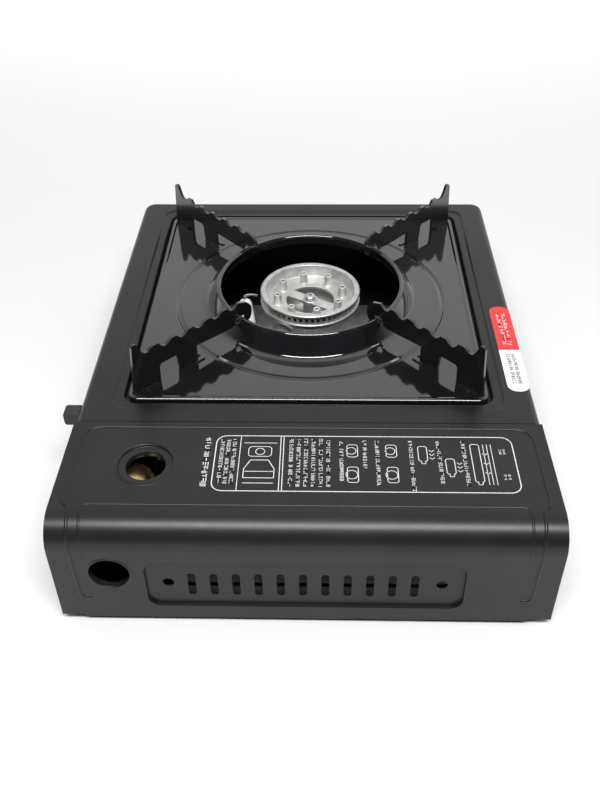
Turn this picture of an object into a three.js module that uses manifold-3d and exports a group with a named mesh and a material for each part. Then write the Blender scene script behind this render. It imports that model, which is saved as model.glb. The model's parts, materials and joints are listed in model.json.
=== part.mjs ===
// Portable gas camping stove of the flat cartridge type, in millimetres, +Z up.
// +X points to the cartridge bay under the hinged lid, -Y to the front with the knob and the
// lock lever. Everything is modelled about the middle of the casing; the last lines shift the
// group so that the origin is the middle of the whole stove's footprint, on the table.
import * as THREE from "three";
import { mergeVertices } from "three/addons/utils/BufferGeometryUtils.js";
import Module from "manifold-3d";

const wasm = await Module();
wasm.setup();

// ---------------------------------------------------------------- driving dimensions
const BODY_LENGTH = 358.8; // left wall to the lid's outer face, along X
const BODY_DEPTH = 275; // front to rear, along Y
const BODY_TOP = 75.65; // top panel above the table
const BAY_WIDTH = 86.2; // cartridge bay, seam to the lid's outer face
const SHEET = 0.8; // pressed steel of the casing, base, pan and lid
const THIN_SHEET = 0.6; // galvanised tray, carriage and reflector
const GAP = 0.3; // between fixed pieces that touch
const CLEAR = 0.5; // between fixed and moving pieces

const BASE_Z = 4; // underside of the base plate
const BASE_RIM = 13; // height of its turned-up rim
const HOUSING_BOTTOM = 5.2;
const PLAN_CORNER = 9; // casing corners, seen from above
const EDGE_ROUND = 5; // casing's top edges
const PANEL_STEP = 1; // the top panel's sunk border
const PANEL_STEP_MARGIN = 6.6; // border line outside the well for the drip pan
const WELL_DEPTH = 6;
const WELL_LEDGE = 8;
const WELL_CORNER = 9;
const WELL_TO_LEFT = 20.4; // well's edge to the left wall
const WELL_TO_SEAM = 18.2;
const WELL_TO_FRONT = 24.7; // and to the rear wall

const LID_BEND = 17; // outer radius between the lid's top and its side
const LID_BOTTOM = 5.5;
const LID_HEM = 1.5; // middle of the lid's lower edge hangs lower
const LID_HEM_INSET = 12;
const CHEEK_TO_PANEL = 1.15; // lid's flanges to the knob's surround
const LID_SEAM_GAP = 0.5;
const SIGHT_HOLE = 11.5; // radius of the round holes in the lid
const SIGHT_DISH = 16.3; // dished rim round the upper one
const SIGHT_DISH_DEPTH = 1.4;
const TOP_HOLE_FROM_SEAM = 35.8;
const TOP_HOLE_FROM_FRONT = 47.5;
const SIDE_HOLE_FROM_FRONT = 31.5;
const SIDE_HOLE_ABOVE_CAN = 0.9; // its middle above the cartridge's axis
const VENT_COUNT = 11;
const VENT_PITCH = 12.2;
const VENT_SHIFT = -1; // row of slots off the lid's middle, along Y
const VENT_WIDTH = 4.4;
const VENT_LOW = 22;
const VENT_HIGH = 40;
const VENT_PANEL_HALF = 87.8;
const VENT_PANEL_LOW = 13.6;
const VENT_PANEL_HIGH = 51.5;
const VENT_PANEL_DEPTH = 2;
const VENT_SCREW_HOLE = 3.25; // radius
const VENT_SCREW_IN = 13; // hole to the sunk panel's end
const VENT_SCREW_Z = 32.5;
const HINGE_IN = 4.4; // hinge axis inside the lid's outer face
const HINGE_Z = 9;
const HINGE_PIN = 1.5; // radius

const BURNER_SHIFT = 0.4; // burner's middle, towards the seam from the well's middle
const PLATE_DROP = 1.3; // drip pan's upper face below the top panel
const PAN_END_GAP = 3; // drip pan to the well's wall along X
const PAN_SIDE_GAP = 2; // and along Y
const PAN_EDGE_ROUND = 1.6;
const COLLAR_BASE = 71.5; // wind collar's radii
const COLLAR_RIM = 65.1;
const COLLAR_INSIDE = 61.5;
const COLLAR_HEIGHT = 13.8;

const SUPPORT_THICK = 2;
const SUPPORT_INSET = 3.7; // support's foot to the pan's edge, along Y
const SUPPORT_HORN = 34.1; // outer horn above the pan
const SUPPORT_WORK = 26; // pot level above the pan
const SUPPORT_WINDOW = 11.3;
const SUPPORT_FOOT = 14.3; // length of the middle foot
const SUPPORT_OUTER_FOOT = 20.2;
const SUPPORT_NOSE = 54.7; // inner end's radius
const TAB_LENGTH = 8;
const TAB_DEPTH = 4;

const BURNER_RADIUS = 34.9;
const BURNER_RISE = 5.4; // burner's rim above the top panel
const BURNER_RECESS = 9; // sunk floor below the rim
const BURNER_CUP = 27.7; // radius of the cup under the ring
const CUP_HEIGHT = 18.75;
const CUP_DROP = 12.3; // top of the cup below the burner's rim
const CUP_SEAT = 4.2; // the cup's flared edge, that the port ring sits on, above the cup
const RIM_HEIGHT = 1.8; // burner cap's rim, above the port ring
const PORT_HEIGHT = 4.1;
const PORT_BELOW_EDGE = 0.8;
const PORT_COUNT = 52;
const POST_COUNT = 8;
const POST_IN = 11.7; // circle of the posts inside the rim's outer edge
const POST_TURN = 0.27; // first post past +X, as a share of the posts' pitch
const OPENING_IN = 17.4; // middle opening's edge inside the same edge
const BAR_TURN = 59; // bar across the opening, in degrees from +X

const CAN_RADIUS = 33.5; // the gas cartridge that the bay is made for
const CAN_FROM_FRONT = 57.5; // cartridge's front end behind the front wall
const CAN_LENGTH = 185;
const KNOB_RADIUS = 18;
const POCKET_MARGIN = 4.5; // round the knob
const PANEL_ABOVE = 1.4; // knob's surround, beyond the pocket
const PANEL_BESIDE = 3.6;
const PANEL_BELOW = 2;
const POCKET_DEPTH = 11.5;
const KNOB_OUT = 5.8; // knob's face in front of the casing

const LEVER_FROM_SEAM = 20.7; // lever's middle plane
const LEVER_SLOT_HALF = 2.3;
const LEVER_PIVOT_IN = 29.5; // lever's axis behind the front wall
const LEVER_PIVOT_Z = 45;
const LEVER_TAB_OUT = 7; // middle of the tab in front of the front wall
const LEVER_TAB_Z = 62;
const LEVER_TRAVEL = 28; // degrees
const CRANK_RADIUS = 14;

// ---------------------------------------------------------------- derived places
const LEFT = -BODY_LENGTH / 2;
const RIGHT = BODY_LENGTH / 2;
const FRONT = -BODY_DEPTH / 2;
const REAR = BODY_DEPTH / 2;
const SEAM = RIGHT - BAY_WIDTH;
const WELL = {
  x0: LEFT + WELL_TO_LEFT,
  x1: SEAM - WELL_TO_SEAM,
  y0: FRONT + WELL_TO_FRONT,
  y1: REAR - WELL_TO_FRONT,
};
const BURNER_X = (WELL.x0 + WELL.x1) / 2 + BURNER_SHIFT;
const BASE_TOP = BASE_Z + SHEET;
const PIVOT_X = RIGHT - HINGE_IN;
// the lid's lower edge swings round the hinge axis, so the base stops short of it
const HEM_SWING = Math.hypot(HINGE_IN, HINGE_Z - LID_BOTTOM + LID_HEM);
const BASE_RIGHT = PIVOT_X - HEM_SWING - 2 * CLEAR;
const END_WALL_OUT = BODY_DEPTH / 2 - SHEET - CLEAR; // bay's end walls, inside the lid's cheeks
const END_WALL_IN = END_WALL_OUT - SHEET;
const PARTITION_X = SEAM - 3.2;
const CAN_X = (SEAM + BASE_RIGHT) / 2 + 0.4;
const TRAY_LEFT = SEAM + 2;
const TRAY_RIGHT = BASE_RIGHT - SHEET - CLEAR;
const TRAY_TOP = BASE_TOP + GAP + THIN_SHEET;
const CARRIAGE_Z = TRAY_TOP + GAP;
const CAN_Z = CARRIAGE_Z + THIN_SHEET + CLEAR + CAN_RADIUS; // cartridge's axis
const CAN_FRONT = FRONT + CAN_FROM_FRONT;
const CAN_REAR = CAN_FRONT + CAN_LENGTH;
const PLATE_Z = BODY_TOP - PLATE_DROP;
const BURNER_TOP = BODY_TOP + BURNER_RISE;
const CUP_TOP = BURNER_TOP - CUP_DROP;
const CUP_FLOOR = CUP_TOP - CUP_HEIGHT;
const SEAT_Z = CUP_TOP + CUP_SEAT;
const POCKET_RADIUS = KNOB_RADIUS + POCKET_MARGIN;
// the lid's flanges at the front and rear end before the knob's surround
const PANEL_TOP = CAN_Z + POCKET_RADIUS + PANEL_ABOVE;
const PANEL_RIGHT = CAN_X + POCKET_RADIUS + PANEL_BESIDE;
const LID_CHEEK = Math.min(BODY_TOP - PANEL_TOP, RIGHT - PANEL_RIGHT) - CHEEK_TO_PANEL;
const COLLAR_TOP = PLATE_Z + COLLAR_HEIGHT;
const POCKET_FLOOR = FRONT + POCKET_DEPTH + 1.3; // front face of the pocket's floor
const WELL_HALF = Math.min(WELL.x1 - WELL.x0, WELL.y1 - WELL.y0) / 2;
const SUPPORT_REACH = (WELL_HALF - PAN_SIDE_GAP - SUPPORT_INSET) * Math.SQRT2;
const LEVER_X = SEAM - LEVER_FROM_SEAM;
const LEVER_PIVOT_Y = FRONT + LEVER_PIVOT_IN;
const SHAFT_RADIUS = 2.5;
const REGULATOR_FACE = POCKET_FLOOR + 1 + GAP + 1 + GAP; // behind the pocket's floor and the bracket
const SEAT_Y = CAN_FRONT - 8;
const PIPE_Y = SEAT_Y - 5;
const JET_X = PARTITION_X - 6;

// ---------------------------------------------------------------- solids and outlines
function solid(geometry) {
  const bare = geometry.index ? geometry.toNonIndexed() : geometry.clone();
  bare.deleteAttribute("normal");
  bare.deleteAttribute("uv");
  const merged = mergeVertices(bare, 1e-4);
  const index = merged.index.array;
  const kept = [];
  for (let i = 0; i < index.length; i += 3) {
    const [a, b, c] = [index[i], index[i + 1], index[i + 2]];
    if (a !== b && b !== c && a !== c) kept.push(a, b, c);
  }
  const vertProperties = new Float32Array(merged.attributes.position.array);
  return new wasm.Manifold(
    new wasm.Mesh({ numProp: 3, vertProperties, triVerts: new Uint32Array(kept) }),
  );
}

function geometryOf(body) {
  const mesh = body.getMesh();
  const count = mesh.numVert;
  const points = new Float32Array(count * 3);
  for (let i = 0; i < count; i++) {
    const start = i * mesh.numProp;
    points.set(mesh.vertProperties.subarray(start, start + 3), i * 3);
  }
  return new THREE.BufferGeometry()
    .setAttribute("position", new THREE.BufferAttribute(points, 3))
    .setIndex(new THREE.BufferAttribute(new Uint32Array(mesh.triVerts), 1));
}

const joined = (first, ...rest) => rest.reduce((sum, part) => sum.add(part), first);
const cut = (first, ...rest) => rest.reduce((left, part) => left.subtract(part), first);

function polygon(points) {
  return new THREE.Shape(points.map(([x, y]) => new THREE.Vector2(x, y)));
}

function roundRect(x0, y0, x1, y1, r) {
  const quarter = Math.PI / 2;
  return new THREE.Shape()
    .absarc(x1 - r, y0 + r, r, -quarter, 0, false)
    .absarc(x1 - r, y1 - r, r, 0, quarter, false)
    .absarc(x0 + r, y1 - r, r, quarter, 2 * quarter, false)
    .absarc(x0 + r, y0 + r, r, 2 * quarter, 3 * quarter, false);
}

const disc = (x, y, r) => new THREE.Shape().absarc(x, y, r, 0, 2 * Math.PI, false);

function extruded(shape, depth, arcSteps) {
  const settings = { depth, bevelEnabled: false, curveSegments: arcSteps };
  return new THREE.ExtrudeGeometry(shape, settings);
}

// an outline in X and Y, from z0 up to z1
const upright = (shape, z0, z1, steps = 6) =>
  solid(extruded(shape, z1 - z0, steps).translate(0, 0, z0));

// an outline in X and Z, from y0 back to y1
const alongY = (shape, y0, y1, steps = 6) =>
  solid(extruded(shape, y1 - y0, steps).rotateX(Math.PI / 2).translate(0, y1, 0));

const TO_X = new THREE.Matrix4().makeBasis(
  new THREE.Vector3(0, 1, 0),
  new THREE.Vector3(0, 0, 1),
  new THREE.Vector3(1, 0, 0),
);

// an outline in Y and Z, from x0 to x1
const alongX = (shape, x0, x1, steps = 6) =>
  solid(extruded(shape, x1 - x0, steps).applyMatrix4(TO_X).translate(x0, 0, 0));

function block(x0, y0, z0, x1, y1, z1) {
  const box = new THREE.BoxGeometry(x1 - x0, y1 - y0, z1 - z0);
  return solid(box.translate((x0 + x1) / 2, (y0 + y1) / 2, (z0 + z1) / 2));
}

// a block whose corners are round in plan and whose long edges are rounded off
function softBlock(x0, y0, z0, x1, y1, z1, corner, edge) {
  const shape = roundRect(x0 + edge, y0 + edge, x1 - edge, y1 - edge, Math.max(corner - edge, 0.5));
  const settings = {
    depth: z1 - z0 - 2 * edge,
    bevelEnabled: true,
    bevelThickness: edge,
    bevelSize: edge,
    bevelSegments: 2,
    curveSegments: 3,
  };
  return solid(new THREE.ExtrudeGeometry(shape, settings).translate(0, 0, z0 + edge));
}

// a profile of [radius, height] points that starts and ends on the axis, or closes on itself
function turned(profile, segments = 32) {
  const points = profile.map(([r, h]) => new THREE.Vector2(r, h));
  const closed = profile[0][0] > 0;
  if (closed) points.push(points[0].clone());
  if (THREE.ShapeUtils.area(points) < 0) points.reverse();
  return solid(new THREE.LatheGeometry(points, segments).rotateX(Math.PI / 2));
}

const atZ = (body, x, y, z = 0) => body.translate([x, y, z]);
// a turned solid laid along Y, its height running to the rear
const layY = (body, x, y, z) => body.rotate([-90, 0, 0]).translate([x, y, z]);
// a turned solid laid along X, its height running to the right
const layX = (body, x, y, z) => body.rotate([0, 90, 0]).translate([x, y, z]);

const rodZ = (x, y, r, z0, z1, n = 16) =>
  atZ(turned([[0, z0], [r, z0], [r, z1], [0, z1]], n), x, y);
const rodY = (x, z, r, y0, y1, n = 16) =>
  layY(turned([[0, 0], [r, 0], [r, y1 - y0], [0, y1 - y0]], n), x, y0, z);
const rodX = (y, z, r, x0, x1, n = 16) =>
  layX(turned([[0, 0], [r, 0], [r, x1 - x0], [0, x1 - x0]], n), x0, y, z);

function tube(points, r, sides, steps) {
  const path = new THREE.CatmullRomCurve3(points.map((p) => new THREE.Vector3(...p)));
  const settings = { steps, bevelEnabled: false, extrudePath: path, curveSegments: sides / 2 };
  return solid(new THREE.ExtrudeGeometry(disc(0, 0, r), settings));
}

// ---------------------------------------------------------------- casing
const wellShape = (inset, corner = WELL_CORNER) =>
  roundRect(WELL.x0 + inset, WELL.y0 + inset, WELL.x1 - inset, WELL.y1 - inset, corner);

function mainHousing() {
  const past = SEAM + 3 * PLAN_CORNER;
  const bottom = -2 * PLAN_CORNER;
  const border = wellShape(-PANEL_STEP_MARGIN, PLAN_CORNER);
  const innerBorder = wellShape(-PANEL_STEP_MARGIN - SHEET, PLAN_CORNER);
  const outer = cut(
    softBlock(LEFT, FRONT, bottom, past, REAR, BODY_TOP, PLAN_CORNER, EDGE_ROUND),
    upright(border, BODY_TOP - PANEL_STEP, BODY_TOP + 1),
  );
  const [l, f, r] = [LEFT + SHEET, FRONT + SHEET, REAR - SHEET];
  const top = BODY_TOP - SHEET;
  const inner = cut(
    softBlock(l, f, bottom - 9, past + 9, r, top, PLAN_CORNER - SHEET, EDGE_ROUND - SHEET),
    upright(innerBorder, top - PANEL_STEP, top + 1),
  );
  const keep = block(LEFT - 1, FRONT - 1, HOUSING_BOTTOM, SEAM, REAR + 1, BODY_TOP + 1);
  const shell = cut(outer, inner).intersect(keep);
  const flange = block(SEAM - SHEET, f - 0.1, BODY_TOP - 10, SEAM, r + 0.1, top + 0.1);
  const ledge = BODY_TOP - WELL_DEPTH;
  const wellBox = cut(
    upright(wellShape(-SHEET, WELL_CORNER + SHEET), ledge - SHEET, top - PANEL_STEP + 0.2),
    upright(wellShape(0), ledge, BODY_TOP),
    upright(wellShape(WELL_LEDGE), ledge - 2, BODY_TOP),
  );
  const [slotLow, slotHigh] = [LEVER_PIVOT_Z - 7, LEVER_TAB_Z + 2.5];
  return cut(
    joined(cut(shell, upright(wellShape(0), top - 2, BODY_TOP + 1)), wellBox, flange),
    block(LEVER_X - LEVER_SLOT_HALF, FRONT - 1, slotLow, LEVER_X + LEVER_SLOT_HALF, FRONT + 2, slotHigh),
  );
}

const FEET = [
  ["foot_front_left", LEFT + 24, FRONT + 24],
  ["foot_rear_left", LEFT + 24, REAR - 24],
  ["foot_front_right", BASE_RIGHT - 15, FRONT + 24],
  ["foot_rear_right", BASE_RIGHT - 15, REAR - 24],
];
const STEM = 2.5;

// side view of the bay's end walls: under the lid's bend, with a round ear at the hinge that
// stays inside the lid's face when the lid is fully open
function endWallOutline() {
  const inset = SHEET + CLEAR;
  const ear = 3.2;
  const right = PIVOT_X + ear;
  const top = BODY_TOP - inset;
  const bend = LID_BEND - inset;
  return new THREE.Shape()
    .moveTo(SEAM - 8, BASE_TOP - 0.2)
    .lineTo(BASE_RIGHT, BASE_TOP - 0.2)
    .lineTo(BASE_RIGHT, HINGE_Z - ear)
    .lineTo(PIVOT_X, HINGE_Z - ear)
    .absarc(PIVOT_X, HINGE_Z, ear, -Math.PI / 2, 0, false)
    .lineTo(right, top - bend)
    .absarc(right - bend, top - bend, bend, 0, Math.PI / 2, false)
    .lineTo(SEAM + 2, top)
    .lineTo(SEAM + 2, top - 12)
    .lineTo(SEAM - 8, top - 12);
}

function baseTray() {
  const [x0, y0] = [LEFT + SHEET + CLEAR, -END_WALL_OUT];
  const corner = PLAN_CORNER - SHEET - CLEAR;
  const rim = BASE_Z + BASE_RIM;
  const outline = (d) => roundRect(x0 + d, y0 + d, BASE_RIGHT - d, -y0 - d, Math.max(corner - d, 2));
  const tray = cut(
    upright(outline(0), BASE_Z, rim),
    upright(outline(SHEET), BASE_TOP, rim + 1),
  );
  const hole = disc(PIVOT_X, HINGE_Z, HINGE_PIN + 0.2);
  const outlineHole = endWallOutline();
  outlineHole.holes.push(hole);
  const front = alongY(outlineHole, -END_WALL_OUT, -END_WALL_IN);
  const rear = alongY(outlineHole, END_WALL_IN, END_WALL_OUT);
  const holes = FEET.map(([, x, y]) => rodZ(x, y, STEM + GAP, 0, rim, 10));
  const screws = BRACKET_SCREWS.map(([, y]) => rodZ(BURNER_X, y, 2, 0, rim, 12));
  const pocket = rodY(CAN_X, CAN_Z, POCKET_RADIUS + 1 + GAP, -END_WALL_OUT - 1, -END_WALL_IN + 1, 30);
  const panelScrews = PANEL_SCREWS.map(([, x, z]) =>
    rodY(x, z, 1.5, -END_WALL_OUT - 1, -END_WALL_IN + 1, 12),
  );
  return cut(joined(tray, front, rear), ...holes, ...screws, pocket, ...panelScrews);
}

function rubberFoot(x, y) {
  const top = BASE_Z - GAP;
  const head = BASE_TOP + GAP;
  const profile = [[0, 0], [7.4, 0], [8.4, 0.8], [8.4, top], [STEM, top], [STEM, head]];
  profile.push([STEM + 1.4, head], [STEM - 0.4, head + 2.6], [0, head + 2.6]);
  return atZ(turned(profile, 14), x, y);
}

// ---------------------------------------------------------------- lid
function lidProfile(inset, left, bottom) {
  const r = Math.max(LID_BEND - inset, 1);
  return new THREE.Shape()
    .moveTo(left, bottom)
    .lineTo(RIGHT - inset, bottom)
    .absarc(RIGHT - inset - r, BODY_TOP - inset - r, r, 0, Math.PI / 2, false)
    .lineTo(left, BODY_TOP - inset);
}

function cartridgeLid() {
  const left = SEAM + LID_SEAM_GAP;
  const bottom = LID_BOTTOM - LID_HEM;
  const shell = cut(
    alongY(lidProfile(0, left, bottom), FRONT, REAR, 7),
    alongY(lidProfile(SHEET, left - 9, bottom - 9), FRONT + SHEET, REAR - SHEET, 7),
    alongY(lidProfile(LID_CHEEK, left - 9, bottom - 9), FRONT - 1, REAR + 1, 5),
  );
  const lipEnd = REAR - SHEET + 0.1;
  const lip = block(left, -lipEnd, BODY_TOP - 5, left + SHEET, lipEnd, BODY_TOP - 0.2);
  const corners = [FRONT, REAR].map((y) => {
    const inward = y < 0 ? y + LID_HEM_INSET : y - LID_HEM_INSET;
    const [a, b] = [Math.min(y, inward), Math.max(y, inward)];
    return block(left - 1, a - 1, bottom - 1, RIGHT + 1, b + 1, LID_BOTTOM);
  });
  // sunk vent panel: the sheet is set back, so its backing is added before the face is cut
  const face = (d) =>
    roundRect(-VENT_PANEL_HALF + d, VENT_PANEL_LOW + d, VENT_PANEL_HALF - d, VENT_PANEL_HIGH - d, 8 - d);
  const inside = RIGHT - SHEET - VENT_PANEL_DEPTH;
  const backing = alongX(face(0), inside, RIGHT - 0.2);
  const sunk = alongX(face(SHEET), RIGHT - VENT_PANEL_DEPTH, RIGHT + 1);
  const slots = Array.from({ length: VENT_COUNT }, (_, i) => {
    const y = (i - (VENT_COUNT - 1) / 2) * VENT_PITCH + VENT_SHIFT;
    const half = VENT_WIDTH / 2;
    const slot = roundRect(y - half, VENT_LOW, y + half, VENT_HIGH, half - 0.01);
    return alongX(slot, inside - 1, RIGHT + 1, 2);
  });
  const ventHoles = [-1, 1].map((side) =>
    rodX(side * (VENT_PANEL_HALF - VENT_SCREW_IN), VENT_SCREW_Z, VENT_SCREW_HOLE, inside - 1, RIGHT + 1, 10),
  );
  const sideHoleZ = CAN_Z + SIDE_HOLE_ABOVE_CAN;
  const sideHole = rodX(FRONT + SIDE_HOLE_FROM_FRONT, sideHoleZ, SIGHT_HOLE, RIGHT - 4, RIGHT + 1, 20);
  const [hx, hy] = [SEAM + TOP_HOLE_FROM_SEAM, FRONT + TOP_HOLE_FROM_FRONT];
  const dishFloor = BODY_TOP - SIGHT_DISH_DEPTH;
  const dish = rodZ(hx, hy, SIGHT_DISH + 0.4, dishFloor - SHEET, BODY_TOP - 0.2, 20);
  const dishCut = rodZ(hx, hy, SIGHT_DISH - 0.4, dishFloor, BODY_TOP + 1, 20);
  const topHole = rodZ(hx, hy, SIGHT_HOLE, BODY_TOP - 6, BODY_TOP + 1, 20);
  const pinHoles = rodY(PIVOT_X, HINGE_Z, HINGE_PIN + GAP, FRONT - 1, REAR + 1, 10);
  return cut(
    joined(shell, lip, backing, dish),
    sunk,
    dishCut,
    topHole,
    sideHole,
    pinHoles,
    ...corners,
    ...slots,
    ...ventHoles,
  );
}

// a pin, flush with the lid's cheek, through the cheek and the bay's end wall
function hingePin(side) {
  const start = BODY_DEPTH / 2;
  const end = END_WALL_IN - 3;
  const profile = [[0, 0], [HINGE_PIN, 0], [HINGE_PIN, start - end], [0, start - end]];
  const pin = turned(profile, 16);
  return side < 0
    ? layY(pin, PIVOT_X, -start, HINGE_Z)
    : layY(pin, PIVOT_X, end, HINGE_Z);
}

// ---------------------------------------------------------------- cartridge bay
function bayPartition() {
  const half = END_WALL_IN - GAP;
  const wall = block(PARTITION_X, -half, BASE_TOP + GAP, PARTITION_X + SHEET, half, BODY_TOP - 2.5);
  const foot = block(PARTITION_X - 9, -half, BASE_TOP + GAP, PARTITION_X + 0.2, half, BASE_TOP + GAP + SHEET);
  const [a, b] = [PARTITION_X - 12, PARTITION_X + 3];
  const vents = [-20, 20, 60, 100].map((y) =>
    block(a, y - 14, 20, b, y + 14, 24),
  );
  return cut(
    joined(wall, foot),
    rodX(PIPE_Y, CAN_Z, 4.5, a, b, 20),
    rodX(LEVER_PIVOT_Y, LEVER_PIVOT_Z, SHAFT_RADIUS + 0.4, a, b, 20),
    rodX(FRONT + 13.5, 14, 3, a, b, 16),
    ...vents,
  );
}

function canTray() {
  const [y0, y1] = [CAN_FRONT + 8, CAN_REAR + 18];
  const z = BASE_TOP + GAP;
  const floor = block(TRAY_LEFT, y0, z, TRAY_RIGHT, y1, z + THIN_SHEET);
  const outer = block(TRAY_RIGHT - THIN_SHEET, y0, z, TRAY_RIGHT, y1, CAN_Z - 3);
  const inner = block(TRAY_LEFT, y0, z, TRAY_LEFT + THIN_SHEET, y1, CAN_Z - 14);
  const stop = block(TRAY_LEFT, y1 - THIN_SHEET, z, TRAY_RIGHT, y1, CAN_Z - 24);
  const footHeads = FEET.map(([, x, y]) => rodZ(x, y, STEM + 3, z - 1, z + 2, 12));
  return cut(joined(floor, outer, inner, stop), ...footHeads);
}

const FORK_X = SEAM + 4.8;
const CRANK_LEAN = (LEVER_TRAVEL / 2) * (Math.PI / 180);
const CRANK_PIN = [
  LEVER_PIVOT_Y + CRANK_RADIUS * Math.sin(CRANK_LEAN),
  LEVER_PIVOT_Z + CRANK_RADIUS * Math.cos(CRANK_LEAN),
];

// a strip that slides under the cartridge, with a pad behind it and a fork that the crank moves
function canCarriage() {
  const z = CARRIAGE_Z;
  const top = z + THIN_SHEET;
  const rear = CAN_REAR + 5;
  const [forkFront, forkRear] = [CRANK_PIN[0] - 7, CRANK_PIN[0] + 7];
  const strip = block(CAN_X - 11, forkFront, z, CAN_X + 11, rear, top);
  const pad = alongY(roundRect(CAN_X - 14, z, CAN_X + 14, z + 26, 3), rear - THIN_SHEET, rear);
  const arm = block(FORK_X, forkFront, z, CAN_X, forkRear, top);
  const fork = cut(
    alongX(roundRect(forkFront, z, forkRear, CRANK_PIN[1] + 4.5, 2), FORK_X, FORK_X + 1.2, 3),
    block(FORK_X - 1, CRANK_PIN[0] - 2.3, CRANK_PIN[1] - 3, FORK_X + 3, CRANK_PIN[0] + 2.3, BODY_TOP),
  );
  const foot = block(FORK_X, forkFront, z, FORK_X + 1.2, forkRear, z + 4);
  return joined(strip, pad, arm, fork, foot);
}

// ---------------------------------------------------------------- lock lever
const TAB_Y = FRONT - LEVER_TAB_OUT;
const ARM_ANGLE = Math.atan2(LEVER_TAB_Z - LEVER_PIVOT_Z, TAB_Y - LEVER_PIVOT_Y);
const ARM_LENGTH = Math.hypot(LEVER_TAB_Z - LEVER_PIVOT_Z, TAB_Y - LEVER_PIVOT_Y);

function leverArm(grow) {
  const half = 3.4 + grow;
  const [end, thick] = [ARM_LENGTH + grow, 1.2 + grow];
  const bar = block(LEVER_X - thick, 0, -half, LEVER_X + thick, end, half);
  return bar.rotate([(ARM_ANGLE * 180) / Math.PI, 0, 0]).translate([0, LEVER_PIVOT_Y, LEVER_PIVOT_Z]);
}

function lockLever() {
  const hub = rodX(LEVER_PIVOT_Y, LEVER_PIVOT_Z, 6, LEVER_X - 1.2, LEVER_X + 1.2, 24);
  const bore = rodX(LEVER_PIVOT_Y, LEVER_PIVOT_Z, SHAFT_RADIUS + GAP, LEVER_X - 3, LEVER_X + 3, 20);
  return cut(joined(leverArm(0), hub), bore);
}

function leverTab() {
  const shape = roundRect(TAB_Y - 6, LEVER_TAB_Z - 4.7, TAB_Y + 5.5, LEVER_TAB_Z + 4.7, 2);
  return cut(alongX(shape, LEVER_X - 4.5, LEVER_X + 4.5, 4), leverArm(GAP));
}

const lockShaft = () =>
  rodX(LEVER_PIVOT_Y, LEVER_PIVOT_Z, SHAFT_RADIUS, LEVER_X - 5, FORK_X - 1, 20);

function lockCrank() {
  const [x0, x1] = [SEAM + 0.8, SEAM + 2.8];
  const arm = alongX(polygon([[-3.2, 0], [3.2, 0], [3.2, CRANK_RADIUS], [-3.2, CRANK_RADIUS]]), x0, x1)
    .rotate([(-CRANK_LEAN * 180) / Math.PI, 0, 0])
    .translate([0, LEVER_PIVOT_Y, LEVER_PIVOT_Z]);
  const hub = rodX(LEVER_PIVOT_Y, LEVER_PIVOT_Z, 5.5, x0, x1, 20);
  const tip = rodX(...CRANK_PIN, 3.2, x0, x1, 16);
  const pin = rodX(...CRANK_PIN, 1.9, x0, FORK_X + 2.6, 16);
  const bore = rodX(LEVER_PIVOT_Y, LEVER_PIVOT_Z, SHAFT_RADIUS + GAP, x0 - 1, x1 + 1, 20);
  return cut(joined(arm, hub, tip, pin), bore);
}

function leverBracket() {
  const [y, z] = [LEVER_PIVOT_Y, LEVER_PIVOT_Z];
  const x0 = LEVER_X + 6;
  const plate = alongX(roundRect(y - 9, z - 8, y + 9, z + 9, 2), x0, x0 + 1, 3);
  const web = block(x0, y - 9, z + 8, PARTITION_X - GAP, y + 9, z + 9);
  const foot = block(PARTITION_X - GAP - 1, y - 9, z + 4, PARTITION_X - GAP, y + 9, z + 9);
  const bore = rodX(y, z, SHAFT_RADIUS + 0.4, x0 - 1, PARTITION_X, 20);
  return cut(joined(plate, web, foot), bore);
}

// torsion spring, drawn as one coil sleeve with its turns
function leverSpring() {
  const [inside, outside, turns, pitch] = [SHAFT_RADIUS + 0.5, SHAFT_RADIUS + 1.5, 5, 1.1];
  const profile = [[inside, 0], [inside, turns * pitch]];
  for (let i = turns; i > 0; i--) {
    profile.push([outside - 0.4, i * pitch], [outside, (i - 0.5) * pitch]);
  }
  profile.push([outside - 0.4, 0]);
  return layX(turned(profile, 12), LEVER_X + 7.6, LEVER_PIVOT_Y, LEVER_PIVOT_Z);
}

// ---------------------------------------------------------------- gas side
function controlPanel() {
  const start = -END_WALL_OUT - GAP - SHEET; // front face of the flange
  const depth = POCKET_FLOOR + 1 - start;
  const [r, wall] = [POCKET_RADIUS, 1];
  const cup = layY(
    turned([[7, depth], [7, depth - wall], [r, depth - wall], [r, 0], [r + wall, 0], [r + wall, depth]],
      30),
    CAN_X,
    start,
    CAN_Z,
  );
  const panelLow = CAN_Z - POCKET_RADIUS - PANEL_BELOW;
  const flange = alongY(
    roundRect(2 * CAN_X - PANEL_RIGHT, panelLow, PANEL_RIGHT, PANEL_TOP, 4),
    start,
    start + SHEET,
  );
  const mouth = rodY(CAN_X, CAN_Z, r + 0.5, start - 1, start + SHEET + 1, 30);
  const screws = PANEL_SCREWS.map(([, x, z]) => rodY(x, z, 1.5, start - 1, start + 2, 12));
  return cut(joined(cut(flange, mouth), cup), ...screws);
}

const PANEL_SCREWS = [
  ["panel_screw_left", CAN_X - POCKET_RADIUS - 0.7, CAN_Z - POCKET_RADIUS + 0.6],
  ["panel_screw_right", CAN_X + POCKET_RADIUS + 0.7, CAN_Z - POCKET_RADIUS + 0.6],
];

function panelScrew(x, z) {
  const face = -END_WALL_OUT - 2 * GAP - SHEET;
  const profile = [[0, 0], [1.7, 0], [2.5, 0.6], [2.5, 1], [1.2, 1], [1.2, 6], [0, 6]];
  return layY(turned(profile, 16), x, face - 1, z);
}

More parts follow.
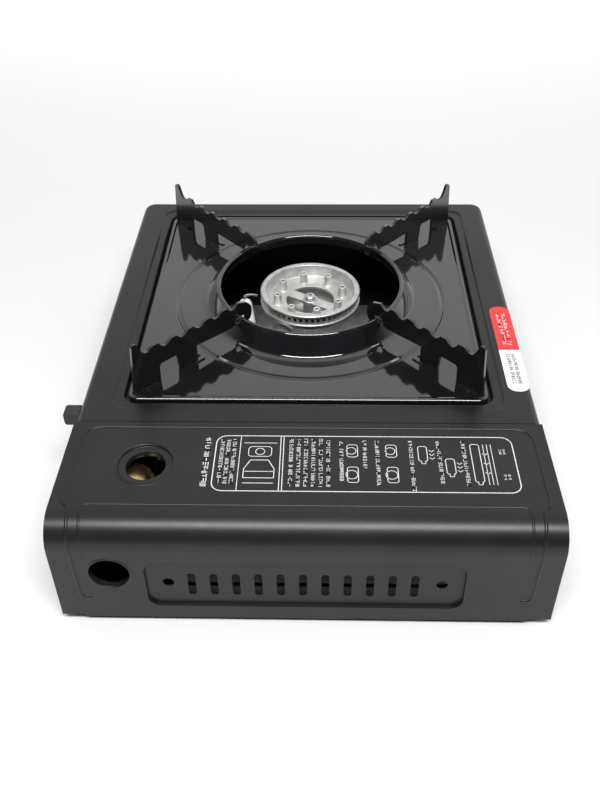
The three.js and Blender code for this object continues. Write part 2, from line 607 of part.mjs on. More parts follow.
function controlKnob() {
  const face = FRONT - KNOB_OUT;
  const back = POCKET_FLOOR - CLEAR;
  const depth = back - face;
  const grip = KNOB_RADIUS - 3;
  const body = layY(
    turned([[0, 5], [grip - 1, 5], [grip, 6], [grip, depth - 5], [KNOB_RADIUS - 0.6, depth - 5],
      [KNOB_RADIUS, depth - 4.2], [KNOB_RADIUS, depth], [0, depth]], 26),
    CAN_X,
    face,
    CAN_Z,
  );
  const bar = alongY(
    roundRect(CAN_X - 4.5, CAN_Z - grip, CAN_X + 4.5, CAN_Z + grip, 3),
    face,
    face + depth - 3,
    4,
  );
  return cut(joined(body, bar), rodY(CAN_X, CAN_Z, 3.3, back - 11, back + 1, 20));
}

const valveSpindle = () =>
  rodY(CAN_X, CAN_Z, 3, POCKET_FLOOR - CLEAR - 10.6, REGULATOR_FACE + 7, 20);

function regulatorBody() {
  const length = SEAT_Y - REGULATOR_FACE;
  const barrel = layY(
    turned([[0, -1.3], [8, -1.3], [8, 0], [16, 0], [17, 1], [17, length], [0, length]], 24),
    CAN_X,
    REGULATOR_FACE,
    CAN_Z,
  );
  const chimney = rodZ(REGULATOR_TOP.x, REGULATOR_TOP.y, 15.5, CAN_Z, REGULATOR_TOP.z, 24);
  return cut(
    joined(barrel, chimney),
    rodY(CAN_X, CAN_Z, 3.4, REGULATOR_FACE - 4, REGULATOR_FACE + 8, 20),
    rodY(CAN_X, CAN_Z, 4, SEAT_Y - 6, SEAT_Y + 1, 20),
    rodX(PIPE_Y, CAN_Z, 3.4, CAN_X - 24, CAN_X - 11, 16),
  );
}

const REGULATOR_TOP = { x: CAN_X - 3, y: REGULATOR_FACE + 17.5, z: CAN_Z + 17 };

function regulatorCover() {
  const profile = [[0, 0], [17, 0], [17.5, 0.8], [17.5, 1.6]];
  const [steps, radius, rise] = [5, 15.5, 6];
  for (let i = 0; i <= steps; i++) {
    const turn = (i / steps) * (Math.PI / 2);
    profile.push([radius * Math.cos(turn), 1.6 + rise * Math.sin(turn)]);
  }
  profile[profile.length - 1][0] = 0;
  return atZ(turned(profile, 18), REGULATOR_TOP.x, REGULATOR_TOP.y, REGULATOR_TOP.z + GAP);
}

function regulatorBracket() {
  const y1 = REGULATOR_FACE - GAP;
  const z0 = BASE_TOP + GAP;
  const plate = alongY(roundRect(CAN_X - 25, z0, CAN_X + 25, CAN_Z + 20, 3), y1 - 1, y1, 3);
  const foot = block(CAN_X - 25, y1 - 1, z0, CAN_X + 25, y1 + 5, z0 + 0.8);
  return cut(joined(plate, foot), rodY(CAN_X, CAN_Z, 8.3, y1 - 3, y1 + 2, 24));
}

const seatCup = () =>
  layY(turned([[11.5, 0], [17, 0], [17, 5], [15.8, 6.2], [14.6, 6.2], [14.6, 2], [11.5, 1.4]], 20),
    CAN_X, SEAT_Y + GAP, CAN_Z);

const seatSeal = () =>
  layY(turned([[4.6, 0], [8.6, 0], [8.6, 2], [8, 2.6], [5.2, 2.6], [4.6, 2]], 16),
    CAN_X, SEAT_Y + GAP, CAN_Z);

const gasPipe = () => rodX(PIPE_Y, CAN_Z, 3, JET_X + 1.3, CAN_X - 11.6, 16);

function gasJet() {
  const profile = [[0, -14], [1.6, -14], [2.4, -10], [4, -9], [4, -5], [5.2, -5], [5.2, 1], [0, 1]];
  return layX(turned(profile, 6), JET_X, PIPE_Y, CAN_Z);
}

function piezoIgniter() {
  const y0 = REGULATOR_FACE + 1.5;
  const [low, high] = [CARRIAGE_Z + THIN_SHEET + 1.6, CAN_Z - 20 - 1];
  const box = alongY(roundRect(CAN_X - 7, low, CAN_X + 8, high, 2), y0, y0 + 20, 3);
  return joined(box, rodY(CAN_X, (low + high) / 2, 3.4, y0 + 19, y0 + 27, 16));
}

// ---------------------------------------------------------------- burner
const TUBE_RADIUS = 9;
const TUBE_END = [JET_X - 16, PIPE_Y, CAN_Z];
const TUBE_ROUTE = [
  [BURNER_X, 0, CUP_FLOOR + 4.5],
  [BURNER_X + 36, PIPE_Y * 0.3, CUP_FLOOR + 4.5],
  [BURNER_X + 62, PIPE_Y * 0.52, CUP_FLOOR + 1],
  [(BURNER_X + 62 + TUBE_END[0]) / 2, PIPE_Y * 0.8, CAN_Z + 4.5],
  [TUBE_END[0] - 9, PIPE_Y * 0.985, CAN_Z + 0.4],
  TUBE_END,
];

function burnerBase() {
  const cup = atZ(
    turned([[0, CUP_FLOOR - 5.2], [12, CUP_FLOOR - 5.2], [13, CUP_FLOOR - 2], [BURNER_CUP - 2, CUP_FLOOR],
      [BURNER_CUP, CUP_FLOOR + 2], [BURNER_CUP, CUP_TOP - 2], [BURNER_RADIUS - 0.4, CUP_TOP + 2],
      [BURNER_RADIUS - 0.4, SEAT_Z], [0, SEAT_Z]], 28),
    BURNER_X,
    0,
  );
  const bowl = atZ(
    turned([[0, CUP_FLOOR + 2], [BURNER_CUP - 3, CUP_FLOOR + 2], [BURNER_CUP - 2, CUP_TOP - 3],
      [BURNER_RADIUS - 3.9, CUP_TOP + 1], [BURNER_RADIUS - 3.9, SEAT_Z + 1], [0, SEAT_Z + 1]], 28),
    BURNER_X,
    0,
  );
  const route = tube(TUBE_ROUTE, TUBE_RADIUS, 10, 10);
  const throughEnd = [TUBE_END[0] + 2, PIPE_Y, CAN_Z];
  const flow = tube([...TUBE_ROUTE.slice(0, -1), throughEnd], TUBE_RADIUS - 1.5, 8, 10);
  const bell = layX(turned([[TUBE_RADIUS - 1.5, 0], [TUBE_RADIUS + 2.5, 8], [TUBE_RADIUS + 2.5, 10],
    [TUBE_RADIUS - 0.4, 10], [TUBE_RADIUS - 1.5, 6]], 16), TUBE_END[0] - 9, PIPE_Y, CAN_Z);
  const tower = rodZ(BURNER_X, 0, 5, CUP_FLOOR, BURNER_TOP - BURNER_RECESS - 2 - GAP, 16);
  const bore = rodZ(BURNER_X, 0, 2.2, CUP_FLOOR + 10, BURNER_TOP, 12);
  return cut(joined(cut(joined(cup, route), bowl, flow), bell, tower), bore);
}

function portRing() {
  const z0 = SEAT_Z + GAP;
  const z1 = BURNER_TOP - RIM_HEIGHT - GAP;
  const portTop = z1 - PORT_BELOW_EDGE;
  const [inside, outside] = [BURNER_RADIUS - 3.6, BURNER_RADIUS - 0.9];
  const ring = turned([[inside, z0], [outside, z0], [outside, z1], [inside, z1]], PORT_COUNT);
  const ports = Array.from({ length: PORT_COUNT / 2 }, (_, i) =>
    block(-BURNER_RADIUS - 1, -1.2, portTop - PORT_HEIGHT, BURNER_RADIUS + 1, 1.2, portTop).rotate([
      0, 0, (i + 0.5) * (360 / PORT_COUNT),
    ]),
  );
  return atZ(cut(ring, ...ports), BURNER_X, 0);
}

function burnerCap() {
  const rimFloor = BURNER_TOP - RIM_HEIGHT;
  const floor = BURNER_TOP - BURNER_RECESS;
  const r = BURNER_RADIUS;
  const opening = r - OPENING_IN;
  const ring = turned([[opening, floor - 2], [r - 4.4, floor - 2], [r - 4.4, rimFloor], [r, rimFloor],
    [r, BURNER_TOP - 0.8], [r - 0.8, BURNER_TOP], [r - 3.4, BURNER_TOP], [r - 4.2, BURNER_TOP - 1],
    [r - 5.4, floor], [opening, floor]], 36);
  const reach = opening + 0.5;
  const bar = block(-reach, -4.2, floor - 1.9, reach, 4.2, floor - 0.1).rotate([0, 0, BAR_TURN]);
  const boss = turned([[0, floor - 1.9], [5.4, floor - 1.9], [5.4, floor + 1], [0, floor + 1]], 24);
  const posts = Array.from({ length: POST_COUNT }, (_, i) => {
    const angle = ((i + POST_TURN) * 2 * Math.PI) / POST_COUNT;
    const post = turned([[0, -1], [3, -1], [2.5, 8.2], [0, 8.2]], 8);
    return atZ(post, (r - POST_IN) * Math.cos(angle), (r - POST_IN) * Math.sin(angle), floor);
  });
  const bore = turned([[0, floor - 4], [2.3, floor - 4], [2.3, floor + 4], [0, floor + 4]], 12);
  return atZ(cut(joined(ring, bar, boss, ...posts), bore), BURNER_X, 0);
}

function burnerScrew() {
  const seat = BURNER_TOP - BURNER_RECESS + 1 + GAP;
  const profile = [[0, seat - 12], [1.8, seat - 12], [1.8, seat], [4.2, seat], [4.2, seat + 1],
    [2.6, seat + 2.4], [0, seat + 2.6]];
  return atZ(turned(profile, 20), BURNER_X, 0);
}

const BRACKET_LEG = 66;
const BRACKET_Z = CUP_FLOOR - 5.2 - GAP - 1.2;
const BRACKET_SCREWS = [
  ["bracket_screw_front", -BRACKET_LEG + 5],
  ["bracket_screw_rear", BRACKET_LEG - 5],
];

// a bridge of thick sheet that carries the burner above the base
function burnerBracket() {
  const t = 1.2;
  const low = BASE_TOP + GAP;
  const [leg, foot] = [BRACKET_LEG, BRACKET_LEG - 10];
  const profile = polygon([[-foot, low], [-leg, low], [-leg, BRACKET_Z + t], [leg, BRACKET_Z + t], [leg, low],
    [foot, low], [foot, low + t], [leg - t, low + t], [leg - t, BRACKET_Z], [-leg + t, BRACKET_Z],
    [-leg + t, low + t], [-foot, low + t]]);
  const bridge = alongX(profile, BURNER_X - 33, BURNER_X + 34);
  const screws = BRACKET_SCREWS.map(([, y]) => rodZ(BURNER_X, y, 1.9, 0, 12, 12));
  return cut(bridge, ...screws, tube(leadRoute(), LEAD_RADIUS + 1, 8, 26));
}

function bracketScrew(y) {
  const head = BASE_Z - GAP;
  const profile = [[0, head - 1.6], [2.4, head - 1.6], [3.2, head - 0.8], [3.2, head], [1.5, head],
    [1.5, head + 6], [0, head + 6]];
  return atZ(turned(profile, 16), BURNER_X, y);
}

function heatReflector() {
  const z = BASE_TOP + GAP;
  const half = BRACKET_LEG - 12;
  return upright(roundRect(BURNER_X - 72, -half, BURNER_X + 66, half, 6), z, z + THIN_SHEET, 3);
}

function tubeSupport() {
  const x = TUBE_END[0] - 22;
  const saddle = block(x, PIPE_Y - 12, BASE_TOP + GAP, x + 1.2, PIPE_Y + 16, CAN_Z + 2);
  const foot = block(x, PIPE_Y - 12, BASE_TOP + GAP, x + 10, PIPE_Y + 16, BASE_TOP + GAP + 1.2);
  return cut(joined(saddle, foot), tube(TUBE_ROUTE, TUBE_RADIUS + 3 * GAP, 10, 10));
}

// ---------------------------------------------------------------- ignition
const LEAD_RADIUS = 1.3;
const INSULATOR_RADIUS = 4.8;
const INSULATOR_OUT = BURNER_RADIUS + 11.1; // its top's distance in front of the burner's middle
const TIP_Z = BURNER_TOP - 6;
const ELECTRODE = {
  low: [BURNER_X + 11, 4 - INSULATOR_OUT, TIP_Z - 26],
  high: [BURNER_X + 5, -INSULATOR_OUT, TIP_Z],
};
const toward = (from, to, share) => from.map((value, i) => value + (to[i] - value) * share);

function electrodeInsulator() {
  const { low, high } = ELECTRODE;
  const length = Math.hypot(...high.map((value, i) => value - low[i]));
  const r = INSULATOR_RADIUS;
  const profile = [[0, 0], [2.4, 0], [2.4, 5], [r, 7], [r, length - 3.4], [r - 0.9, length - 1.2],
    [r - 2.4, length], [1.1, length], [1.1, length - 6], [0, length - 6]];
  const along = new THREE.Vector3(...high.map((value, i) => value - low[i])).normalize();
  const turn = new THREE.Quaternion().setFromUnitVectors(new THREE.Vector3(0, 0, 1), along);
  const points = profile.map(([r, h]) => new THREE.Vector2(r, h));
  const body = new THREE.LatheGeometry(points, 20).rotateX(Math.PI / 2);
  body.applyQuaternion(turn).translate(...low);
  return solid(body);
}

function electrodeWire() {
  const { low, high } = ELECTRODE;
  const out = toward(low, high, 1.08);
  const bend = [out[0] - 1, high[1] + 4, TIP_Z + 3];
  const tip = [BURNER_X + 3, high[1] + 9, TIP_Z + 2];
  return tube([toward(low, high, 0.82), high, out, bend, tip], 0.7, 6, 14);
}

function electrodeClip() {
  const [x, y, z] = toward(ELECTRODE.low, ELECTRODE.high, 0.12);
  const plate = block(x - 6, y - 8, z - 0.6, x + 6, y + 7, z + 0.6);
  const tail = block(x - 6, y + 5.8, BRACKET_Z + 1.2 + GAP, x + 6, y + 7, z + 0.6);
  const foot = block(x - 6, y + 5.8, BRACKET_Z + 1.2 + GAP, x + 6, y + 13, BRACKET_Z + 2.4 + GAP);
  const hole = rodZ(x, y, 3.6, z - 4, z + 4, 16);
  return cut(joined(plate, tail, foot), hole);
}

function leadRoute() {
  const start = [CAN_X - 7 - 2 * GAP, REGULATOR_FACE + 12, 13];
  const end = toward(ELECTRODE.low, ELECTRODE.high, -0.02);
  return [
    start,
    [CAN_X - 11, REGULATOR_FACE + 12, 13],
    [CAN_X - 18, REGULATOR_FACE + 7, 12.8],
    [SEAM + 6, FRONT + 14.5, 13.6],
    [PARTITION_X, FRONT + 13.5, 14],
    [PARTITION_X - 30, FRONT + 17, 14],
    [BURNER_X + 74, FRONT + 34, 18],
    [BURNER_X + 36, FRONT + 56, 26],
    [BURNER_X + 17, -54, end[2] - 14.5],
    [end[0] + 3, end[1] + 0.5, end[2] - 8.5],
    end,
  ];
}

const ignitionLead = () => tube(leadRoute(), LEAD_RADIUS, 8, 26);

// ---------------------------------------------------------------- drip pan and pan supports
function dripPan() {
  const [x0, x1] = [WELL.x0 + PAN_END_GAP, WELL.x1 - PAN_END_GAP];
  const [y0, y1] = [WELL.y0 + PAN_SIDE_GAP, WELL.y1 - PAN_SIDE_GAP];
  const corner = WELL_CORNER - 2;
  const low = BODY_TOP - WELL_DEPTH + GAP;
  const under = PLATE_Z - SHEET;
  const tray = cut(
    softBlock(x0, y0, low - 20, x1, y1, PLATE_Z, corner, PAN_EDGE_ROUND),
    softBlock(x0 + SHEET, y0 + SHEET, low - 30, x1 - SHEET, y1 - SHEET, under, corner - SHEET,
      PAN_EDGE_ROUND - SHEET),
    block(x0 - 1, y0 - 1, low - 40, x1 + 1, y1 + 1, low),
  );
  const mid = COLLAR_BASE + 6;
  const lathed = turned([
    [mid, PLATE_Z], [COLLAR_BASE + 1.5, PLATE_Z], [COLLAR_BASE - 1.2, PLATE_Z + 2.5],
    [COLLAR_RIM + 1, COLLAR_TOP - 1.4], [COLLAR_RIM, COLLAR_TOP], [COLLAR_INSIDE, COLLAR_TOP],
    [COLLAR_INSIDE, COLLAR_TOP - 1], [COLLAR_RIM - 1.4, COLLAR_TOP - 0.9], [COLLAR_BASE - 2.1, PLATE_Z + 2.4],
    [COLLAR_BASE - 1.6, under], [mid, under],
  ], 40);
  const slots = SUPPORTS.flatMap(([, angle]) =>
    tabPlaces().map((r) =>
      block(r - TAB_LENGTH / 2 - GAP, -SUPPORT_THICK / 2 - GAP, under - 2, r + TAB_LENGTH / 2 + GAP,
        SUPPORT_THICK / 2 + GAP, PLATE_Z + 2).rotate([0, 0, angle]).translate([BURNER_X, 0, 0]),
    ),
  );
  const plate = cut(tray, rodZ(BURNER_X, 0, mid - 0.5, under - 5, PLATE_Z + 5, 40));
  return cut(joined(plate, atZ(lathed, BURNER_X, 0)), ...slots);
}

const SUPPORTS = [
  ["pan_support_front_right", -45],
  ["pan_support_rear_right", 45],
  ["pan_support_rear_left", 135],
  ["pan_support_front_left", 225],
];

// middles of the two feet, measured from the burner's middle
function tabPlaces() {
  const middleFoot = SUPPORT_REACH - SUPPORT_OUTER_FOOT - 15.3 - SUPPORT_FOOT;
  return [SUPPORT_REACH - SUPPORT_OUTER_FOOT / 2, middleFoot + SUPPORT_FOOT / 2];
}

// side view of a support: r runs out from the burner's middle, h up from the pan
function supportOutline() {
  const R = SUPPORT_REACH;
  const [work, horn, under] = [SUPPORT_WORK, SUPPORT_HORN, SUPPORT_WINDOW];
  const dip = work - 3.4;
  const notch = R - 12.8;
  const innerTop = SUPPORT_NOSE + 5.6;
  const span = notch - 3.5 - innerTop;
  const s = new THREE.Shape();
  s.moveTo(R, 0).lineTo(R - 2.4, horn - 1.6);
  s.absarc(R - 4.6, horn - 2.2, 2.2, 0.2, Math.PI * 0.92, false);
  s.lineTo(R - 8.6, work + 2).quadraticCurveTo(R - 10, work - 2, notch - 1, work - 1.6);
  s.quadraticCurveTo(notch - 3, work + 0.6, notch - 5, work + 1);
  // five shallow dips grip the pot
  const teeth = 5;
  const pitch = (span - 7) / teeth;
  for (let i = 0; i < teeth; i++) {
    const start = notch - 9 - i * pitch;
    s.lineTo(start, work + (i ? -0.3 : 0.9));
    s.quadraticCurveTo(start - pitch * 0.16, dip, start - pitch * 0.34, dip);
    s.quadraticCurveTo(start - pitch * 0.5, dip + 0.2, start - pitch * 0.7, work - 0.4);
  }
  s.lineTo(innerTop - 1, work - 2.5);
  s.quadraticCurveTo(SUPPORT_NOSE - 0.2, work - 6, SUPPORT_NOSE, work - 10);
  s.quadraticCurveTo(SUPPORT_NOSE + 0.4, 9.6, SUPPORT_NOSE + 3, 8.8);
  s.lineTo(COLLAR_INSIDE - 1.2, 9).lineTo(COLLAR_INSIDE - 1.2, COLLAR_HEIGHT + 1.1);
  s.lineTo(COLLAR_BASE - 3.4, COLLAR_HEIGHT + 1.1).lineTo(COLLAR_BASE - 1.4, 9.6);
  const [outerFoot, middleFoot] = [R - SUPPORT_OUTER_FOOT, tabPlaces()[1] - SUPPORT_FOOT / 2];
  s.lineTo(COLLAR_BASE + 6, 9.2).lineTo(middleFoot, 10.4).lineTo(middleFoot, 0);
  s.lineTo(middleFoot + SUPPORT_FOOT, 0).lineTo(middleFoot + SUPPORT_FOOT + 1, under - 1.5);
  s.lineTo(middleFoot + SUPPORT_FOOT + 2.5, under).lineTo(outerFoot - 1.6, under);
  s.lineTo(outerFoot - 0.3, under - 2).lineTo(outerFoot, 0);
  return s;
}

function panSupport(angle) {
  const half = SUPPORT_THICK / 2;
  const blade = alongY(supportOutline(), -half, half, 3);
  const tabs = tabPlaces().map((r) =>
    block(r - TAB_LENGTH / 2, -half, -GAP - SHEET - TAB_DEPTH, r + TAB_LENGTH / 2, half, 1),
  );
  return joined(blade, ...tabs)
    .rotate([0, 0, angle])
    .translate([BURNER_X, 0, PLATE_Z + GAP]);
}

// ---------------------------------------------------------------- finishes
function finish(color, roughness, metalness) {
  return () => new THREE.MeshStandardMaterial({ color, roughness, metalness });
}

const powderBlack = finish(0x2b2b2d, 0.5, 0.1);
const enamelBlack = finish(0x0b0b0c, 0.12, 0.1);
const galvanised = finish(0x9a9d9c, 0.42, 0.9);
const castAluminium = finish(0xb9b9b6, 0.4, 0.9);
const brightSteel = finish(0xc4c4c4, 0.3, 1);
const yellowZinc = finish(0xc9a45a, 0.3, 0.9);
const brass = finish(0xb88c3c, 0.3, 1);
const ceramic = finish(0xf2f0ea, 0.35, 0);
const blackPlastic = finish(0x1a1a1b, 0.45, 0);
const blackRubber = finish(0x141414, 0.8, 0);
const redPlastic = finish(0xa8241c, 0.5, 0);

// ---------------------------------------------------------------- assembly
const stove = new THREE.Group();

function add(name, body, material) {
  const mesh = new THREE.Mesh(geometryOf(body), material());
  mesh.name = name;
  stove.add(mesh);
}

add("main_housing", mainHousing(), powderBlack);
add("base_tray", baseTray(), powderBlack);
FEET.forEach(([name, x, y]) => add(name, rubberFoot(x, y), blackRubber));
add("bay_partition", bayPartition(), galvanised);
add("can_tray", canTray(), galvanised);
add("can_carriage", canCarriage(), galvanised);
add("cartridge_lid", cartridgeLid(), powderBlack);
add("hinge_pin_front", hingePin(-1), brightSteel);
add("hinge_pin_rear", hingePin(1), brightSteel);

add("lock_lever", lockLever(), galvanised);
add("lever_tab", leverTab(), blackPlastic);
add("lock_shaft", lockShaft(), brightSteel);
add("lock_crank", lockCrank(), galvanised);
add("lever_bracket", leverBracket(), galvanised);
add("lever_spring", leverSpring(), brightSteel);

add("control_panel", controlPanel(), blackPlastic);
PANEL_SCREWS.forEach(([name, x, z]) => add(name, panelScrew(x, z), brightSteel));
add("control_knob", controlKnob(), blackPlastic);
add("valve_spindle", valveSpindle(), brass);
add("regulator_body", regulatorBody(), castAluminium);
add("regulator_cover", regulatorCover(), yellowZinc);
add("regulator_bracket", regulatorBracket(), galvanised);
add("seat_cup", seatCup(), yellowZinc);
add("seat_seal", seatSeal(), blackRubber);
add("gas_pipe", gasPipe(), brass);
add("gas_jet", gasJet(), brass);
add("piezo_igniter", piezoIgniter(), blackPlastic);

add("burner_base", burnerBase(), castAluminium);
add("port_ring", portRing(), brightSteel);
add("burner_cap", burnerCap(), castAluminium);
add("burner_screw", burnerScrew(), brightSteel);
add("burner_bracket", burnerBracket(), galvanised);
BRACKET_SCREWS.forEach(([name, y]) => add(name, bracketScrew(y), brightSteel));
add("heat_reflector", heatReflector(), galvanised);
add("tube_support", tubeSupport(), galvanised);

add("electrode_insulator", electrodeInsulator(), ceramic);
add("electrode_wire", electrodeWire(), brightSteel);
add("electrode_clip", electrodeClip(), galvanised);
add("ignition_lead", ignitionLead(), redPlastic);

add("drip_pan", dripPan(), enamelBlack);
SUPPORTS.forEach(([name, angle]) => add(name, panSupport(angle), enamelBlack));

// the lever's tab stands in front of the casing, so the footprint's middle is forward of Y = 0
const TAB_FRONT = TAB_Y - 6;
stove.position.set(0, -(TAB_FRONT + REAR) / 2, 0);

export default stove;
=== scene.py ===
"""Looks of a flat portable gas camping stove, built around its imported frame.

Every piece is in metres, in the frame's own axes: +X towards the cartridge lid, -Y towards
the knob and the lock lever, +Z up. Sizes in the classes are in millimetres.
"""

import json
import logging
import math
import random
from collections.abc import Callable, Iterable, Sequence
from dataclasses import dataclass
from enum import Enum

import bmesh
import bpy
from mathutils import Matrix, Vector

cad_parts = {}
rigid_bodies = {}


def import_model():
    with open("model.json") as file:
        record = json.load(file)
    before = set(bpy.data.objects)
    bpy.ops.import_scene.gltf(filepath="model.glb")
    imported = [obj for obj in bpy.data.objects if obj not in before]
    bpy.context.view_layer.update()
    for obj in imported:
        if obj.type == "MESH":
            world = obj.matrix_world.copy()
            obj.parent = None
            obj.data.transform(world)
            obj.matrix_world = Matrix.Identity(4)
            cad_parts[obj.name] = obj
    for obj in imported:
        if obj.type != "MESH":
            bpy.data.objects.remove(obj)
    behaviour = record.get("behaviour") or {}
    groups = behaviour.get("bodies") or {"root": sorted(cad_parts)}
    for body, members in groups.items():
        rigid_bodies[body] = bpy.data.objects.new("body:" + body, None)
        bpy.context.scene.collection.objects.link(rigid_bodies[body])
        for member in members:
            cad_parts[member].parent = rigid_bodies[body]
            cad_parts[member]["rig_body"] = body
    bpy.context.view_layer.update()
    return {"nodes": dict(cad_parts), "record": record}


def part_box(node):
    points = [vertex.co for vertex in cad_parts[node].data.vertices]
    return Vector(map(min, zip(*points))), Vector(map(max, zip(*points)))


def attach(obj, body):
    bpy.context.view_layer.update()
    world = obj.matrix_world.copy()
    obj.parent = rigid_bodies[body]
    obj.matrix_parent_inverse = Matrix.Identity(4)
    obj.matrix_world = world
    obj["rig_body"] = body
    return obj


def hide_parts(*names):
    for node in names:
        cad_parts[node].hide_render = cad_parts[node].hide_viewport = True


MM = 0.001
MERGE = 1e-6
UP = Vector((0.0, 0.0, 1.0))
SHARP_TURN = math.radians(38)
BEVELLED_TURN = math.radians(42)
FLAT_TURN = math.radians(0.6)
QUARTER = math.pi / 2
ABOVE_PAINT = 0.03
LOG = logging.getLogger("stove")

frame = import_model()


class Body(Enum):
    """The rigid bodies that the pieces ride on."""

    CASING = "casing"
    LID = "lid"
    KNOB = "knob"
    LEVER = "lever"
    CARRIAGE = "carriage"
    PAN = "pan"


class Slot(Enum):
    """The record's material slots."""

    POWDER = "powder_black"
    ENAMEL = "enamel_black"
    GALVANISED = "galvanised"
    CAST = "cast_aluminium"
    STEEL = "bright_steel"
    YELLOW_ZINC = "yellow_zinc"
    BRASS = "brass"
    CERAMIC = "ceramic"
    PLASTIC = "black_plastic"
    RUBBER = "black_rubber"
    RED_SLEEVE = "red_plastic"
    WHITE_PRINT = "white_print"
    STICKER_RED = "sticker_red"
    STICKER_WHITE = "sticker_white"


# ---------------------------------------------------------------- shader toolkit
class Value:
    """A shader value that takes part in Python arithmetic."""

    def __init__(self, nodes: "Nodes", socket: bpy.types.NodeSocket) -> None:
        """Wraps an output socket of the tree."""
        self.nodes = nodes
        self.socket = socket

    def __add__(self, other: "Value | float") -> "Value":
        """self + other."""
        return self.nodes.math("ADD", self, other)

    __radd__ = __add__

    def __sub__(self, other: "Value | float") -> "Value":
        """self - other."""
        return self.nodes.math("SUBTRACT", self, other)

    def __rsub__(self, other: float) -> "Value":
        """other - self."""
        return self.nodes.math("SUBTRACT", other, self)

    def __mul__(self, other: "Value | float") -> "Value":
        """self * other."""
        return self.nodes.math("MULTIPLY", self, other)

    __rmul__ = __mul__

    def fade(self, low: float, high: float) -> "Value":
        """A smooth step of this value from 0 at low to 1 at high."""
        inputs = {"Value": self, "From Min": low, "From Max": high}
        node = self.nodes.node("ShaderNodeMapRange", {"interpolation_type": "SMOOTHSTEP"}, inputs)
        return Value(self.nodes, node.outputs["Result"])


class Nodes:
    """A node tree, written as expressions."""

    def __init__(self, tree: bpy.types.NodeTree) -> None:
        """Takes the tree that new nodes go in."""
        self.tree = tree

    def node(self, kind: str, settings: dict | None = None, inputs: dict | None = None) -> bpy.types.Node:
        """Adds any node.

        Args:
            kind: The node's type.
            settings: Properties that are set first.
            inputs: Values or links, by socket name or number.

        Returns:
            The new node.
        """
        made = self.tree.nodes.new(kind)
        for key, value in (settings or {}).items():
            setattr(made, key, value)
        for key, value in (inputs or {}).items():
            self.feed(made.inputs[key], value)
        return made

    def feed(self, socket: bpy.types.NodeSocket, value: object) -> None:
        """Links a value to the socket, or sets the socket's own value."""
        source = value.socket if isinstance(value, Value) else value
        if isinstance(source, bpy.types.NodeSocket):
            self.tree.links.new(source, socket)
        else:
            socket.default_value = source

    def math(self, operation: str, *terms: Value | float) -> Value:
        """One Math node over the terms."""
        node = self.node("ShaderNodeMath", {"operation": operation}, dict(enumerate(terms)))
        return Value(self, node.outputs[0])

    def mix(self, share: Value, first: Sequence[float], second: Sequence[float]) -> bpy.types.NodeSocket:
        """A colour from first to second by the share."""
        inputs = {0: share, 6: (*first, 1.0), 7: (*second, 1.0)}
        return self.node("ShaderNodeMix", {"data_type": "RGBA"}, inputs).outputs[2]


class Shader(Nodes):
    """A material's nodes, with its one Principled surface."""

    def __init__(self, name: str) -> None:
        """Starts the material."""
        self.material = bpy.data.materials.new(name)
        self.material.use_nodes = True
        super().__init__(self.material.node_tree)
        self.surface = self.tree.nodes["Principled BSDF"]
        self.point = self.node("ShaderNodeTexCoord").outputs["Object"]

    def noise(self, size: float, detail: float = 2.0, stretch: tuple | None = None) -> Value:
        """Cloudy noise about 0.5.

        Args:
            size: Size of a cloud in millimetres.
            detail: Octaves of finer noise.
            stretch: Scale along X, Y and Z for brushed grain.

        Returns:
            The noise value.
        """
        point = self.point
        if stretch:
            point = self.node("ShaderNodeMapping", None, {"Vector": point, "Scale": stretch}).outputs[0]
        inputs = {"Vector": point, "Scale": 1 / (size * MM), "Detail": detail}
        return Value(self, self.node("ShaderNodeTexNoise", None, inputs).outputs[0])

    def cells(self, size: float, output: str = "Distance") -> Value:
        """Voronoi cells of a size in millimetres."""
        inputs = {"Vector": self.point, "Scale": 1 / (size * MM)}
        return Value(self, self.node("ShaderNodeTexVoronoi", None, inputs).outputs[output])

    def relief(self, height: Value, depth: float, strength: float = 1.0) -> None:
        """Feeds a bump of a depth in millimetres to the surface's normal."""
        inputs = {"Strength": strength, "Distance": depth * MM, "Height": height}
        self.feed(self.surface.inputs["Normal"], self.node("ShaderNodeBump", None, inputs).outputs[0])

    def set(self, **values: object) -> None:
        """Feeds the surface's sockets; an underscore in a keyword stands for a space."""
        for key, value in values.items():
            self.feed(self.surface.inputs[key.replace("_", " ")], value)


def tinted(colour: Sequence[float], factor: float) -> tuple[float, float, float]:
    """The colour made lighter or darker by a factor."""
    return tuple(min(1.0, part * factor) for part in colour)


# ---------------------------------------------------------------- finishes
MATERIALS: dict[str, bpy.types.Material] = {}


@dataclass(frozen=True)
class Finish:
    """A surface finish: its slot in the record, its colour and its gloss."""

    name: str
    slot: Slot
    colour: tuple[float, float, float]
    roughness: float

    def shade(self, shader: Shader) -> None:
        """Fills the shader; each kind of finish has its own way."""
        raise NotImplementedError

    def material(self) -> bpy.types.Material:
        """The finish's material, made once."""
        if self.name not in MATERIALS:
            shader = Shader(self.name)
            self.shade(shader)
            MATERIALS[self.name] = shader.material
        return MATERIALS[self.name]


@dataclass(frozen=True)
class PowderCoat(Finish):
    """Satin powder coat with a fine orange peel and faint dust."""

    peel: float = 1.1

    def shade(self, shader: Shader) -> None:
        """Cloudy tone, pin-prick specks and an orange-peel bump."""
        cloud = shader.noise(38, 3)
        speck = (shader.noise(0.55, 2)).fade(0.66, 0.78)
        tone = cloud.fade(0.3, 0.7) * 0.75 + speck * 0.25
        grain = shader.noise(self.peel, 3) + shader.noise(0.35, 1) * 0.35
        rough = self.roughness + (shader.noise(9, 3) - 0.5) * 0.08 + speck * 0.06
        shader.set(Base_Color=shader.mix(tone, tinted(self.colour, 0.86), tinted(self.colour, 1.22)),
                   Roughness=rough, IOR=1.42)
        shader.relief(grain, 0.03, 0.5)


